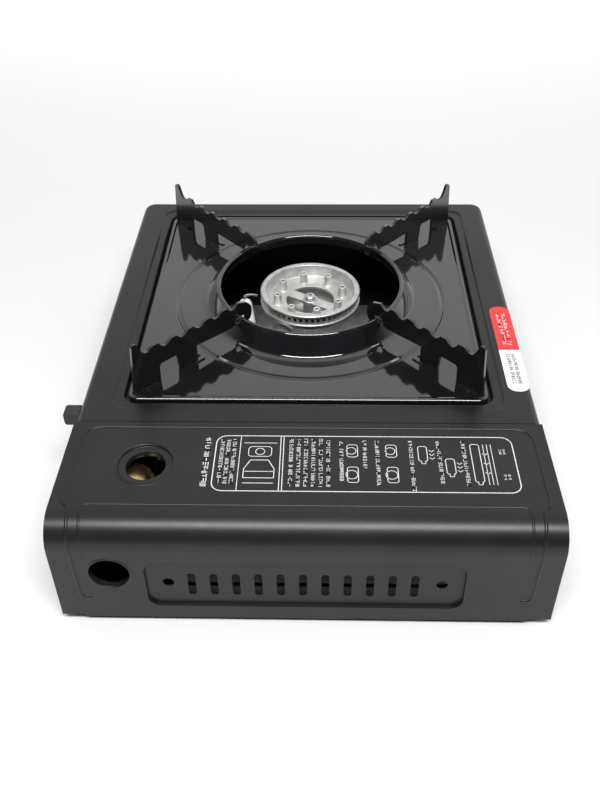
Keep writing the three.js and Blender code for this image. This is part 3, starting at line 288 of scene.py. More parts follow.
@dataclass(frozen=True)
class Enamel(Finish):
    """Glassy black enamel fired on steel, with soft waves and a few specks."""

    wave: float = 13.0

    def shade(self, shader: Shader) -> None:
        """A near-black body under a clear gloss, whose waves bend what it mirrors."""
        speck = shader.cells(7).fade(0.045, 0.02)
        haze = shader.noise(26, 4).fade(0.35, 0.75)
        rough = self.roughness + haze * 0.035 + speck * 0.25
        shader.set(Base_Color=shader.mix(haze * 0.6 + speck * 0.4, self.colour, tinted(self.colour, 1.7)),
                   Roughness=rough, IOR=1.8, Coat_Weight=0.5, Coat_Roughness=0.03, Coat_IOR=1.5)
        waves = shader.noise(self.wave, 1) + shader.noise(3.2, 1) * 0.06
        shader.relief(waves, 0.10, 0.5)


@dataclass(frozen=True)
class CastMetal(Finish):
    """Die-cast aluminium with a tumbled, finely pitted skin."""

    pit: float = 0.5

    def shade(self, shader: Shader) -> None:
        """Grey cloud, small pits and a rough skin."""
        cloud = shader.noise(7, 4).fade(0.25, 0.75)
        pits = shader.noise(self.pit, 2).fade(0.62, 0.74)
        rough = self.roughness + (shader.noise(2.4, 3) - 0.5) * 0.16 + pits * 0.15
        tone = cloud * 0.8 + (1 - pits) * 0.2
        shader.set(Base_Color=shader.mix(tone, tinted(self.colour, 0.78), tinted(self.colour, 1.1)),
                   Roughness=rough, Metallic=1.0)
        shader.relief(shader.noise(0.8, 3) - pits * 0.6, 0.05, 0.5)


@dataclass(frozen=True)
class Galvanised(Finish):
    """Zinc-coated sheet with faint spangle and rolling grain."""

    spangle: float = 6.0

    def shade(self, shader: Shader) -> None:
        """Spangle cells shift tone and gloss; grain runs along X."""
        flake = shader.cells(self.spangle, "Color")
        grain = shader.noise(1.6, 3, (0.06, 1.0, 1.0))
        tone = flake * 0.55 + grain * 0.45
        shader.set(Base_Color=shader.mix(tone, tinted(self.colour, 0.82), tinted(self.colour, 1.12)),
                   Roughness=self.roughness + (flake - 0.5) * 0.12 + (grain - 0.5) * 0.1, Metallic=0.95)
        shader.relief(grain, 0.012, 0.4)


@dataclass(frozen=True)
class TurnedMetal(Finish):
    """Bright plated or turned metal with fine lines."""

    line: float = 0.4

    def shade(self, shader: Shader) -> None:
        """Fine lines across the height and faint clouding."""
        lines = shader.noise(self.line, 2, (0.15, 0.15, 1.0))
        cloud = shader.noise(5, 3).fade(0.3, 0.75)
        shader.set(Base_Color=shader.mix(cloud, tinted(self.colour, 0.85), tinted(self.colour, 1.1)),
                   Roughness=self.roughness + (lines - 0.5) * 0.14 + cloud * 0.05, Metallic=1.0)
        shader.relief(lines, 0.01, 0.35)


@dataclass(frozen=True)
class Moulded(Finish):
    """Moulded plastic or rubber with a spark-eroded texture."""

    texture: float = 0.6
    depth: float = 0.03

    def shade(self, shader: Shader) -> None:
        """Fine texture and slight change of gloss."""
        grain = shader.noise(self.texture, 3)
        cloud = shader.noise(12, 2).fade(0.3, 0.7)
        shader.set(Base_Color=shader.mix(cloud * 0.7 + grain * 0.3, tinted(self.colour, 0.85),
                                         tinted(self.colour, 1.2)),
                   Roughness=self.roughness + (grain - 0.5) * 0.14)
        shader.relief(grain, self.depth, 0.5)


@dataclass(frozen=True)
class Print(Finish):
    """Screen print or a coated label, with uneven ink."""

    wear: float = 0.5

    def shade(self, shader: Shader) -> None:
        """Ink thins in small spots."""
        spots = shader.noise(0.9, 3).fade(0.28, 0.5)
        shader.set(Base_Color=shader.mix(spots, tinted(self.colour, 1 - self.wear), self.colour),
                   Roughness=self.roughness + (1 - spots) * 0.1)
        shader.relief(shader.noise(0.5, 2), 0.008, 0.3)


POWDER = PowderCoat("satin_black_powder_coat", Slot.POWDER, (0.0115, 0.012, 0.013), 0.33)
# Near-black matte sheet that stands behind the burner's ports as painted shade, so the ports read black.
PAINTED_SHADE = PowderCoat("painted_shade_behind_ports", Slot.POWDER, (0.004, 0.004, 0.004), 0.8)
ENAMEL = Enamel("gloss_black_enamel", Slot.ENAMEL, (0.006, 0.006, 0.007), 0.07)
SUPPORT_ENAMEL = Enamel("support_black_enamel", Slot.ENAMEL, (0.005, 0.005, 0.006), 0.22, 6.0)
GALVANISED = Galvanised("galvanised_sheet", Slot.GALVANISED, (0.50, 0.52, 0.51), 0.38)
# A darker copy of the galvanised sheet for the bay's inner sheets: painted shade for the dark inside of the
# bay seen through the lid's slots.
SHADE_DARKENED_ZINC = Galvanised("galvanised_sheet_painted_shade", Slot.GALVANISED, (0.15, 0.18, 0.172), 0.5)
CAST = CastMetal("tumbled_cast_aluminium", Slot.CAST, (0.72, 0.72, 0.705), 0.56)
MACHINED = TurnedMetal("machined_ring_face", Slot.CAST, (0.70, 0.70, 0.69), 0.46)
STEEL = TurnedMetal("bright_plated_steel", Slot.STEEL, (0.74, 0.74, 0.74), 0.26)
YELLOW_ZINC = TurnedMetal("yellow_passivated_zinc", Slot.YELLOW_ZINC, (0.74, 0.56, 0.26), 0.30)
BRASS = TurnedMetal("turned_brass", Slot.BRASS, (0.68, 0.49, 0.20), 0.28)
CERAMIC = Moulded("glazed_ceramic", Slot.CERAMIC, (0.88, 0.87, 0.83), 0.22, 2.0, 0.01)
PLASTIC = Moulded("black_moulded_plastic", Slot.PLASTIC, (0.016, 0.016, 0.017), 0.42)
RUBBER = Moulded("black_rubber", Slot.RUBBER, (0.014, 0.014, 0.014), 0.75, 0.8, 0.05)
RED_SLEEVE = Moulded("red_cable_sleeve", Slot.RED_SLEEVE, (0.45, 0.03, 0.02), 0.4)
WHITE_PRINT = Print("white_screen_print", Slot.WHITE_PRINT, (0.80, 0.82, 0.83), 0.45, 0.35)
STICKER_RED = Print("red_label", Slot.STICKER_RED, (0.80, 0.035, 0.04), 0.28, 0.08)
STICKER_WHITE = Print("white_label", Slot.STICKER_WHITE, (0.92, 0.92, 0.90), 0.28, 0.04)
FINISH_OF = {
    finish.slot.value: finish
    for finish in (POWDER, ENAMEL, GALVANISED, CAST, STEEL, YELLOW_ZINC, BRASS, CERAMIC, PLASTIC,
                   RUBBER, RED_SLEEVE)
}


# ---------------------------------------------------------------- mesh toolkit
def box_mm(node: str) -> tuple[Vector, Vector]:
    """A frame node's lowest and highest corners, in millimetres."""
    low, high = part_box(node)
    return low / MM, high / MM


def round_rectangle(low: Sequence[float], high: Sequence[float], radius: float, z: float,
                    corner_steps: int = 8, side_steps: int = 1) -> list[Vector]:
    """Points of a rectangle with round corners, anticlockwise from the corner at +X, -Y.

    Args:
        low: Least X and Y, in millimetres.
        high: Greatest X and Y.
        radius: Radius of the corners.
        z: Height of the loop.
        corner_steps: Steps round each corner.
        side_steps: Steps along each straight side.

    Returns:
        The points, in millimetres.
    """
    r = max(radius, 0.05)
    centres = [(high[0] - r, low[1] + r), (high[0] - r, high[1] - r),
               (low[0] + r, high[1] - r), (low[0] + r, low[1] + r)]
    arcs = []
    for quarter, (x, y) in enumerate(centres):
        start = (quarter - 1) * QUARTER
        angles = [start + step * QUARTER / corner_steps for step in range(corner_steps + 1)]
        arcs.append([Vector((x + r * math.cos(a), y + r * math.sin(a), z)) for a in angles])
    points = []
    for arc, following in zip(arcs, arcs[1:] + arcs[:1]):
        points += arc
        points += [arc[-1].lerp(following[0], step / side_steps) for step in range(1, side_steps)]
    return points


class Loft:
    """A wall that grows from one closed loop of points to the next."""

    def __init__(self, loop: Sequence[Vector]) -> None:
        """Starts with the first loop, in millimetres."""
        self.mesh = bmesh.new()
        self.verts = [self.mesh.verts.new(point * MM) for point in loop]
        pairs = zip(self.verts, self.verts[1:] + self.verts[:1])
        self.edges = [self.mesh.edges.new(pair) for pair in pairs]

    def to(self, loop: Sequence[Vector]) -> "Loft":
        """Extrudes the last loop and moves it to the next loop's points."""
        places = {vert.co.to_tuple(8): order for order, vert in enumerate(self.verts)}
        grown = bmesh.ops.extrude_edge_only(self.mesh, edges=self.edges)["geom"]
        fresh = [item for item in grown if isinstance(item, bmesh.types.BMVert)]
        self.verts = sorted(fresh, key=lambda vert: places[vert.co.to_tuple(8)])
        for vert, point in zip(self.verts, loop):
            vert.co = point * MM
        self.edges = [item for item in grown if isinstance(item, bmesh.types.BMEdge)
                      and item.verts[0] in set(self.verts) and item.verts[1] in set(self.verts)]
        return self

    def through(self, loops: Iterable[Sequence[Vector]]) -> "Loft":
        """Grows through several loops."""
        for loop in loops:
            self.to(loop)
        return self


def face_up(mesh: bmesh.types.BMesh) -> None:
    """Turns every face outwards, or upwards where the mesh is an open sheet."""
    bmesh.ops.recalc_face_normals(mesh, faces=mesh.faces)
    is_open = any(edge.is_boundary for edge in mesh.edges)
    if is_open and sum(face.normal.z * face.calc_area() for face in mesh.faces) < 0:
        bmesh.ops.reverse_faces(mesh, faces=mesh.faces)


def turned(profile: Sequence[tuple[float, float]], steps: int = 64) -> bmesh.types.BMesh:
    """Spins a profile of (radius, height) points in millimetres round Z."""
    mesh = bmesh.new()
    verts = [mesh.verts.new(Vector((r, 0.0, h)) * MM) for r, h in profile]
    edges = [mesh.edges.new(pair) for pair in zip(verts, verts[1:])]
    bmesh.ops.spin(mesh, geom=verts + edges, cent=(0, 0, 0), axis=UP, dvec=(0, 0, 0),
                   angle=2 * math.pi, steps=steps, use_merge=True, use_duplicate=False)
    bmesh.ops.remove_doubles(mesh, verts=mesh.verts, dist=MERGE)
    face_up(mesh)
    return mesh


def arc_points(centre: tuple[float, float], radius: float, start: float, end: float,
               steps: int = 6) -> list[tuple[float, float]]:
    """Points on an arc of a profile, angles in degrees."""
    angles = [math.radians(start + (end - start) * step / steps) for step in range(steps + 1)]
    return [(centre[0] + radius * math.cos(a), centre[1] + radius * math.sin(a)) for a in angles]


def prism(outline: Sequence[tuple[float, float]], z0: float, z1: float) -> bmesh.types.BMesh:
    """An upright solid over an outline in X and Y, in millimetres."""
    mesh = bmesh.new()
    face = mesh.faces.new([mesh.verts.new(Vector((x, y, z0)) * MM) for x, y in outline])
    grown = bmesh.ops.extrude_face_region(mesh, geom=[face])["geom"]
    moved = [item for item in grown if isinstance(item, bmesh.types.BMVert)]
    bmesh.ops.translate(mesh, verts=moved, vec=(0, 0, (z1 - z0) * MM))
    bmesh.ops.recalc_face_normals(mesh, faces=mesh.faces)
    return mesh


def soften(mesh: bmesh.types.BMesh, width: float, segments: int = 2, angle: float = 40.0) -> None:
    """Bevels the edges that turn by more than an angle.

    Args:
        mesh: The mesh to change.
        width: Bevel width in millimetres.
        segments: Steps across the bevel.
        angle: Least turn of an edge in degrees.
    """
    limit = math.radians(angle)
    sharp = [edge for edge in mesh.edges if edge.is_manifold and edge.calc_face_angle(0.0) > limit]
    bmesh.ops.bevel(mesh, geom=sharp, offset=width * MM, offset_type="OFFSET", affect="EDGES",
                    segments=segments, profile=0.5, material=-1, clamp_overlap=True)


def joined(meshes: Iterable[bmesh.types.BMesh]) -> bmesh.types.BMesh:
    """One mesh that holds copies of several."""
    whole = bmesh.new()
    for part in meshes:
        scratch = bpy.data.meshes.new("scratch")
        part.to_mesh(scratch)
        part.free()
        whole.from_mesh(scratch)
        bpy.data.meshes.remove(scratch)
    return whole


def tube_mesh(points: Sequence[Vector], radius: float, closed: bool = False,
              sides: int = 3) -> bmesh.types.BMesh:
    """A round tube along points in millimetres, with closed ends.

    Args:
        points: The tube's centre line.
        radius: Its radius.
        closed: Whether the line is a ring.
        sides: Steps across a quarter of the section.

    Returns:
        The tube's mesh.
    """
    curve = bpy.data.curves.new("scratch", "CURVE")
    curve.dimensions = "3D"
    curve.bevel_depth = radius * MM
    curve.bevel_resolution = sides
    curve.use_fill_caps = not closed
    spline = curve.splines.new("POLY")
    spline.points.add(len(points) - 1)
    for slot, point in zip(spline.points, points):
        slot.co = (*(point * MM), 1.0)
    spline.use_cyclic_u = closed
    holder = bpy.data.objects.new("scratch", curve)
    bpy.context.scene.collection.objects.link(holder)
    depsgraph = bpy.context.evaluated_depsgraph_get()
    made = bpy.data.meshes.new_from_object(holder.evaluated_get(depsgraph))
    mesh = bmesh.new()
    mesh.from_mesh(made)
    bmesh.ops.remove_doubles(mesh, verts=mesh.verts, dist=MERGE)
    bpy.data.objects.remove(holder)
    bpy.data.curves.remove(curve)
    bpy.data.meshes.remove(made)
    return mesh


@dataclass
class Piece:
    """A finished visible piece: its mesh, where it rides and what it stands for."""

    name: str
    body: Body
    finish: Finish
    replaces: tuple[str, ...] = ()
    sheet: float = 0.0
    edge: float = 0.0
    second: Finish | None = None
    second_where: Callable[[Vector], bool] | None = None

    def make(self, mesh: bmesh.types.BMesh) -> bpy.types.Object:
        """Turns the mesh into an object of the stove.

        Args:
            mesh: The shape, in metres in the frame's axes.

        Returns:
            The new object.
        """
        if self.second and self.second_where:
            for face in mesh.faces:
                face.material_index = int(self.second_where(face.calc_center_median() / MM))
        data = bpy.data.meshes.new(self.name)
        mesh.to_mesh(data)
        mesh.free()
        data.shade_smooth()
        data.set_sharp_from_angle(angle=SHARP_TURN)
        data.materials.append(self.finish.material())
        if self.second:
            data.materials.append(self.second.material())
        made = bpy.data.objects.new(self.name, data)
        bpy.context.scene.collection.objects.link(made)
        self._modify(made)
        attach(made, self.body.value)
        if self.replaces:
            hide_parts(*self.replaces)
        LOG.info("%s on %s, %d faces", self.name, self.body.value, len(data.polygons))
        return made

    def _modify(self, made: bpy.types.Object) -> None:
        """Gives the piece its wall, its soft edges and even shading."""
        if self.sheet:
            wall = made.modifiers.new("wall", "SOLIDIFY")
            wall.thickness = self.sheet * MM
            wall.offset = -1.0
            wall.use_even_offset = True
        if self.edge:
            bevel = made.modifiers.new("edge", "BEVEL")
            bevel.width = self.edge * MM
            bevel.segments = 2
            bevel.limit_method = "ANGLE"
            bevel.angle_limit = BEVELLED_TURN
            bevel.use_clamp_overlap = True
        shading = made.modifiers.new("shading", "WEIGHTED_NORMAL")
        shading.keep_sharp = not self.edge


def refined(node: str, name: str, finish: Finish | None = None, edge: float = 0.0) -> bpy.types.Object:
    """Stands a smooth, softly edged copy in for a frame node.

    Args:
        node: The frame node.
        name: The new piece's name.
        finish: Its finish, or none for the finish of the node's slot.
        edge: Width of the soft edges in millimetres.

    Returns:
        The new piece.
    """
    source = frame["nodes"][node]
    mesh = bmesh.new()
    mesh.from_mesh(source.data)
    bmesh.ops.remove_doubles(mesh, verts=mesh.verts, dist=MERGE)
    bmesh.ops.dissolve_limit(mesh, angle_limit=FLAT_TURN, verts=mesh.verts, edges=mesh.edges)
    body = Body(source["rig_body"])
    return Piece(name, body, finish or FINISH_OF[SLOT_OF[node]], (node,), edge=edge).make(mesh)


SLOT_OF = {entry["node"]: entry["material_slot"] for entry in frame["record"]["subparts"]}


# ---------------------------------------------------------------- casing
@dataclass
class Casing:
    """The pressed housing, the base with its feet, and the label on the rear rim."""

    sheet: float = 0.8
    plan_corner: float = 9.0
    edge_round: float = 5.0
    border_margin: float = 6.6
    border_step: float = 1.0
    border_slope: float = 1.6
    well_depth: float = 6.0
    well_ledge: float = 8.0
    well_corner: float = 9.0
    pan_gap: float = 3.0
    pan_side_gap: float = 2.0
    flange: float = 10.0
    slot_half: float = 2.3
    slot_below_tab: float = 19.3
    slot_below_tab_top: float = 2.2
    well_lip: float = 1.2
    well_fillet: float = 1.0
    sticker_size: tuple[float, float] = (91.4, 13.5)
    sticker_red_share: float = 0.54
    sticker_corner: float = 6.0
    sticker_thick: float = 0.12
    sticker_from_well: float = 11.1
    sticker_off_middle: float = 4.4
    writing_half: float = 3.4

    def __post_init__(self) -> None:
        """Reads the housing's and the pan's places from the frame."""
        self.low, self.high = box_mm("main_housing")
        pan_low, pan_high = box_mm("drip_pan")
        gap = Vector((self.pan_gap, self.pan_side_gap, 0))
        self.well_low, self.well_high = pan_low - gap, pan_high + gap
        self.top = self.high.z

    def outer(self, inset: float, z: float) -> list[Vector]:
        """A loop round the whole casing, carried past the seam."""
        past = self.high.x + 3 * self.plan_corner
        return round_rectangle((self.low.x + inset, self.low.y + inset), (past, self.high.y - inset),
                               self.plan_corner - inset, z)

    def well(self, inset: float, z: float) -> list[Vector]:
        """A loop parallel to the edge of the well for the drip pan."""
        low, high = self.well_low, self.well_high
        radius = self.well_corner - max(inset, 0.0)
        return round_rectangle((low.x + inset, low.y + inset), (high.x - inset, high.y - inset),
                               radius, z)

    def housing(self) -> bpy.types.Object:
        """The housing: walls, round top edge, stepped border and well."""
        r, top, lip, fillet = self.edge_round, self.top, self.well_lip, self.well_fillet
        loft = Loft(self.outer(0, self.low.z)).to(self.outer(0, self.low.z + 2))
        for step in range(9):
            turn = step / 8 * QUARTER
            loft.to(self.outer(r * (1 - math.cos(turn)), top - r + r * math.sin(turn)))
        loft.to(self.outer(r + 0.6, top))
        panel = top - self.border_step
        for step in range(7):
            turn = step / 6 * math.pi
            inset = -self.border_margin + step / 6 * self.border_slope
            loft.to(self.well(inset, top - self.border_step * (1 - math.cos(turn)) / 2))
        for step in range(5):
            turn = step / 4 * QUARTER
            loft.to(self.well(lip * (math.sin(turn) - 1), panel - lip * (1 - math.cos(turn))))
        ledge = top - self.well_depth
        for step in range(5):
            turn = step / 4 * QUARTER
            loft.to(self.well(fillet * (1 - math.cos(turn)), ledge + fillet * (1 - math.sin(turn))))
        loft.to(self.well(self.well_ledge, ledge))
        mesh = loft.mesh
        face_up(mesh)
        everything = mesh.verts[:] + mesh.edges[:] + mesh.faces[:]
        seam = self.high.x * MM
        bmesh.ops.bisect_plane(mesh, geom=everything, plane_co=(seam, 0, 0), plane_no=(1, 0, 0),
                               clear_outer=True)
        self._flange(mesh, seam)
        self._lever_slot(mesh)
        return Piece("housing_shell", Body.CASING, POWDER, ("main_housing",),
                     sheet=self.sheet, edge=0.22).make(mesh)

    def _flange(self, mesh: bmesh.types.BMesh, seam: float) -> None:
        """Turns the panel's edge down along the seam."""
        limit = (self.top - self.edge_round) * MM
        rim = [edge for edge in mesh.edges if edge.is_boundary
               and all(abs(v.co.x - seam) < MERGE and v.co.z > limit for v in edge.verts)]
        grown = bmesh.ops.extrude_edge_only(mesh, edges=rim)["geom"]
        for item in grown:
            if isinstance(item, bmesh.types.BMVert):
                item.co.z = (self.top - self.flange) * MM

    def _lever_slot(self, mesh: bmesh.types.BMesh) -> None:
        """Cuts the upright slot that the lock lever moves in."""
        lever_low, lever_high = box_mm("lock_lever")
        tab_low, tab_high = box_mm("lever_tab")
        middle = (lever_low.x + lever_high.x) / 2
        slot_low, slot_high = tab_low.z - self.slot_below_tab, tab_high.z - self.slot_below_tab_top
        front = self.low.y * MM
        cuts = [((middle - self.slot_half, 0, 0), (1, 0, 0)), ((middle + self.slot_half, 0, 0), (1, 0, 0)),
                ((0, 0, slot_low), (0, 0, 1)), ((0, 0, slot_high), (0, 0, 1))]
        for place, normal in cuts:
            faces = [face for face in mesh.faces if all(abs(v.co.y - front) < MERGE for v in face.verts)]
            geom = set(faces) | {e for f in faces for e in f.edges} | {v for f in faces for v in f.verts}
            bmesh.ops.bisect_plane(mesh, geom=list(geom), plane_co=Vector(place) * MM, plane_no=normal)
        inside = [
            face for face in mesh.faces
            if all(abs(v.co.y - front) < MERGE for v in face.verts)
            and abs(face.calc_center_median().x / MM - middle) < self.slot_half
            and slot_low < face.calc_center_median().z / MM < slot_high
        ]
        bmesh.ops.delete(mesh, geom=inside, context="FACES")

    def sticker(self) -> None:
        """The two-colour label on the rear rim, with generic marks."""
        length, width = self.sticker_size
        left = self.well_high.x - self.sticker_from_well - length
        middle = (self.well_high.y + self.high.y) / 2 + self.sticker_off_middle
        z = self.top + 0.02
        low, high = (left, middle - width / 2), (left + length, middle + width / 2)
        split = left + length * self.sticker_red_share
        halves = (("label_red_half", STICKER_RED, -1), ("label_white_half", STICKER_WHITE, 1))
        for name, finish, side in halves:
            outline = [(p.x, p.y) for p in round_rectangle(low, high, self.sticker_corner, z)]
            mesh = prism(outline, z, z + self.sticker_thick)
            geom = mesh.verts[:] + mesh.edges[:] + mesh.faces[:]
            bmesh.ops.bisect_plane(mesh, geom=geom, plane_co=(split * MM, 0, 0),
                                   plane_no=(-side, 0, 0), clear_outer=True)
            bmesh.ops.holes_fill(mesh, edges=mesh.edges)
            Piece(name, Body.CASING, finish).make(mesh)
        half = self.writing_half
        printed = (("label_white_marks", STICKER_WHITE, left + 8, split - 4, 3),
                   ("label_black_marks", PLASTIC, split + 4, left + length - 6, 4))
        for name, finish, start, end, seed in printed:
            marks = Marks(z + self.sticker_thick + 0.01)
            marks.writing((start, middle - half), (end, middle + half), 2, 2.6, seed=seed)
            Piece(name, Body.CASING, finish).make(marks.mesh)

    def build(self) -> None:
        """Makes the casing's pieces."""
        self.housing()
        self.sticker()
        refined("base_tray", "base_shell", edge=0.0)
        for end in ("front_left", "rear_left", "front_right", "rear_right"):
            refined(f"foot_{end}", f"rubber_foot_{end}", edge=0.3)


class Marks:
    """Thin printed marks on a level surface."""

    def __init__(self, z: float) -> None:
        """Starts an empty print at a height in millimetres."""
        self.mesh = bmesh.new()
        self.z = z
        self.thick = 0.04

    def bar(self, start: tuple[float, float], end: tuple[float, float], width: float) -> None:
        """A straight stroke from start to end."""
        a, b = Vector((*start, self.z)), Vector((*end, self.z))
        along = b - a
        turn = Matrix.Rotation(math.atan2(along.y, along.x), 4, "Z")
        size = Matrix.Diagonal((along.length * MM, width * MM, self.thick * MM, 1.0))
        place = Matrix.Translation((a + b) / 2 * MM)
        bmesh.ops.create_cube(self.mesh, size=1.0, matrix=place @ turn @ size)

    def line(self, points: Sequence[tuple[float, float]], width: float, closed: bool = False) -> None:
        """A stroke along several points."""
        following = points[1:] + points[:1] if closed else points[1:]
        for start, end in zip(points, following):
            self.bar(start, end, width)

    def frame(self, low: tuple[float, float], high: tuple[float, float], radius: float, width: float) -> None:
        """A rounded frame."""
        loop = round_rectangle(low, high, radius, 0, corner_steps=5)
        self.line([(p.x, p.y) for p in loop], width, closed=True)

    def ring(self, centre: tuple[float, float], radius: float, width: float, steps: int = 16) -> None:
        """A circle."""
        self.line(arc_points(centre, radius, 0, 360, steps)[:-1], width, closed=True)

    def writing(self, low: tuple[float, float], high: tuple[float, float], rows: int, size: float,
                seed: int) -> None:
        """Rows of small chance strokes along X that stand for writing.

        Args:
            low: Least X and Y of the block.
            high: Greatest X and Y.
            rows: Number of rows.
            size: Height of a row's marks.
            seed: Seed of the strokes.
        """
        draw = random.Random(seed)
        pitch = (high[1] - low[1]) / rows
        tall = min(size, pitch * 0.68)
        wide = tall * 0.8
        stroke = 0.15 * tall
        for row in range(rows):
            y = low[1] + (row + 0.5) * pitch - tall / 2
            x = low[0]
            while x + wide <= high[0] + 0.01:
                for _ in range(5):
                    share = draw.choice((0.1, 0.5, 0.9))
                    if draw.random() < 0.5:
                        self.bar((x, y + share * tall), (x + wide, y + share * tall), stroke)
                    else:
                        self.bar((x + share * wide, y), (x + share * wide, y + tall), stroke)
                x += wide * 1.22


# ---------------------------------------------------------------- lid
@dataclass
class CartridgeLid:
    """The lid over the cartridge bay: its sheet, embossed lines, rolled holes and print."""

    bend: float = 17.0
    bead: float = 1.15
    bead_proud: float = 0.62
    bead_from_seam: float = 4.4
    bead_jog: float = 64.8
    bead_above_foot: float = 21.5
    hole: float = 11.5
    dish: float = 16.3
    dish_depth: float = 1.4
    top_hole: tuple[float, float] = (35.8, 47.5)
    side_hole: tuple[float, float] = (31.5, 41.5)

    def __post_init__(self) -> None:
        """Reads the lid's place from the frame."""
        self.low, self.high = box_mm("cartridge_lid")
        self.top = self.high.z
        self.middle = (self.low.y + self.high.y) / 2
        self.flat_end = self.high.x - self.bend
        self.bend_length = self.bend * QUARTER

    def surface(self, along: float, y: float, out: float) -> Vector:
        """A point on the lid's outer sheet.

        Args:
            along: Way from the seam over the bend and down the face.
            y: Place along Y from the lid's middle.
            out: Height above the sheet.

        Returns:
            The point, in millimetres.
        """
        flat = self.flat_end - self.low.x
        centre = Vector((self.flat_end, 0, self.top - self.bend))
        if along < flat:
            point = Vector((self.low.x + along, 0, self.top + out))
        elif along < flat + self.bend_length:
            turn = (along - flat) / self.bend
            point = centre + Vector((math.sin(turn), 0, math.cos(turn))) * (self.bend + out)
        else:
            point = Vector((self.high.x + out, 0, centre.z - (along - flat - self.bend_length)))
        point.y = self.middle + y
        return point

    def _way(self, corners: Sequence[tuple[float, float, float]]) -> list[Vector]:
        """Points on the sheet along a line whose corners are rounded.

        Args:
            corners: (along, y, radius) of each corner; the ends' radius isn't used.

        Returns:
            The line's points, close enough to follow the bend.
        """
        flat: list[Vector] = [Vector(corners[0][:2])]
        for before, here, after in zip(corners, corners[1:], corners[2:]):
            corner = Vector(here[:2])
            back = (Vector(before[:2]) - corner).normalized() * here[2]
            ahead = (Vector(after[:2]) - corner).normalized() * here[2]
            for step in range(7):
                t = step / 6
                flat.append(corner + back * (1 - t) ** 2 + ahead * t**2)
        flat.append(Vector(corners[-1][:2]))
        points = []
        for start, end in zip(flat, flat[1:]):
            steps = max(1, math.ceil((end - start).length / 1.6))
            points += [start.lerp(end, step / steps) for step in range(steps)]
        points.append(flat[-1])
        return [self.surface(p.x, p.y, self.bead_proud - self.bead) for p in points]

    def beads(self) -> bpy.types.Object:
        """The pressed lines that stiffen the lid."""
        seam_to, jog = self.bead_from_seam, self.bead_jog
        half = (self.high.y - self.low.y) / 2
        wide, narrow = half - 7, half - 11.5
        face = self.flat_end - self.low.x + self.bend_length
        low_end = face + self.top - self.bend - self.bead_above_foot
        meshes = []
        for side in (-1, 1):
            outer = [(seam_to, 0, 0), (seam_to, side * wide, 12), (jog, side * wide, 2.2),
                     (jog + 4, side * narrow, 2.2), (low_end, side * (narrow - 1.5), 4),
                     (low_end, side * (narrow - 7.5), 0)]
            meshes.append(tube_mesh(self._way(outer), self.bead))
            inner = [(jog + 1.2, 0, 0), (jog + 1.2, side * (narrow - 6.5), 4),
                     (face + 4, side * (narrow - 7), 0)]
            meshes.append(tube_mesh(self._way(inner), self.bead * 0.8))
        return Piece("lid_pressed_lines", Body.LID, POWDER).make(joined(meshes))

    def hole_rims(self) -> None:
        """The dished ring round the upper hole and the rolled ring of the lower one."""
        z = self.dish_depth
        profile = [(self.hole - 0.5, -z - 3.4), (self.hole - 0.5, -z - 1.2)]
        profile += arc_points((self.hole + 0.9, -z - 1.2), 1.4, 180, 90, 5)
        profile += [(self.dish - 2.0, -z + 0.2)]
        profile += arc_points((self.dish - 1.7, -z + 0.9), 0.7, -90, 0, 4)
        profile += arc_points((self.dish - 0.1, -0.55), 0.9, 180, 90, 5)
        profile += [(self.dish + 1.0, 0.05)]
        place = Vector((self.low.x + self.top_hole[0] - 0.5, self.low.y + self.top_hole[1], self.top))
        mesh = turned(profile, 96)
        bmesh.ops.translate(mesh, verts=mesh.verts, vec=place * MM)
        Piece("lid_upper_hole_ring", Body.LID, POWDER, sheet=0.3).make(mesh)
        ring = [(self.hole - 0.55, -3.2)]
        ring += arc_points((self.hole + 0.25, -0.35), 0.75, 180, 20, 7)
        mesh = turned(ring, 96)
        bmesh.ops.rotate(mesh, verts=mesh.verts, matrix=Matrix.Rotation(QUARTER, 3, "Y"), cent=(0, 0, 0))
        place = Vector((self.high.x, self.low.y + self.side_hole[0], self.side_hole[1]))
        bmesh.ops.translate(mesh, verts=mesh.verts, vec=place * MM)
        Piece("lid_side_hole_ring", Body.LID, POWDER, sheet=0.3).make(mesh)

    def label(self) -> bpy.types.Object:
        """The printed panel on the lid, made of generic frames, dashes and symbols."""
        marks = Marks(self.top + ABOVE_PAINT)
        x0, x1 = self.low.x + 11.8, self.low.x + 55.8
        m = self.middle
        marks.frame((x0, m - 51.5), (x1, m + 117), 6, 0.55)
        marks.bar((x0, m - 14.6), (x1, m - 14.6), 0.45)
        marks.bar((x0, m - 12.9), (x1, m - 12.9), 0.45)
        marks.bar((x0, m - 37.6), (x1, m - 37.6), 0.4)
        marks.writing((x0 + 1.5, m - 58.6), (x1 - 2, m - 53.6), 1, 3.4, seed=11)
        marks.writing((x0 + 3, m - 49.6), (x1 - 3, m - 39.2), 3, 2.2, seed=12)
        marks.writing((x0 + 2.2, m - 10.6), (x1 - 2.2, m + 14.6), 6, 2.2, seed=13)
        marks.writing((x0 + 4, m + 18.2), (x1 - 8, m + 21.6), 1, 2.2, seed=14)
        for row, (y, length) in enumerate(((31.5, 24), (38.6, 36), (57.6, 40), (73.4, 34), (87.4, 36))):
            marks.writing((x0 + 3.5, m + y), (x0 + 3.5 + length, m + y + 3.2), 1, 2.2, seed=20 + row)
        for y in (25.5, 47.5):
            self._pair(marks, x0, m + y)
        for y, x in ((65.8, 14), (80.6, 24)):
            self._cartridge(marks, x0 + x, m + y, 12)
        self._cartridge(marks, x0 + 21, m + 95.5, 30)
        for y in (100.2, 102.4, 104.6):
            marks.bar((x0 + 6, m + y), (x1 - 6, m + y), 0.35)
        for x in (10, 30):
            marks.writing((x0 + x, m + 108.4), (x0 + x + 4.4, m + 113), 2, 1.7, seed=int(x))
        self._section(marks, x0, m)
        return Piece("lid_printed_panel", Body.LID, WHITE_PRINT).make(marks.mesh)

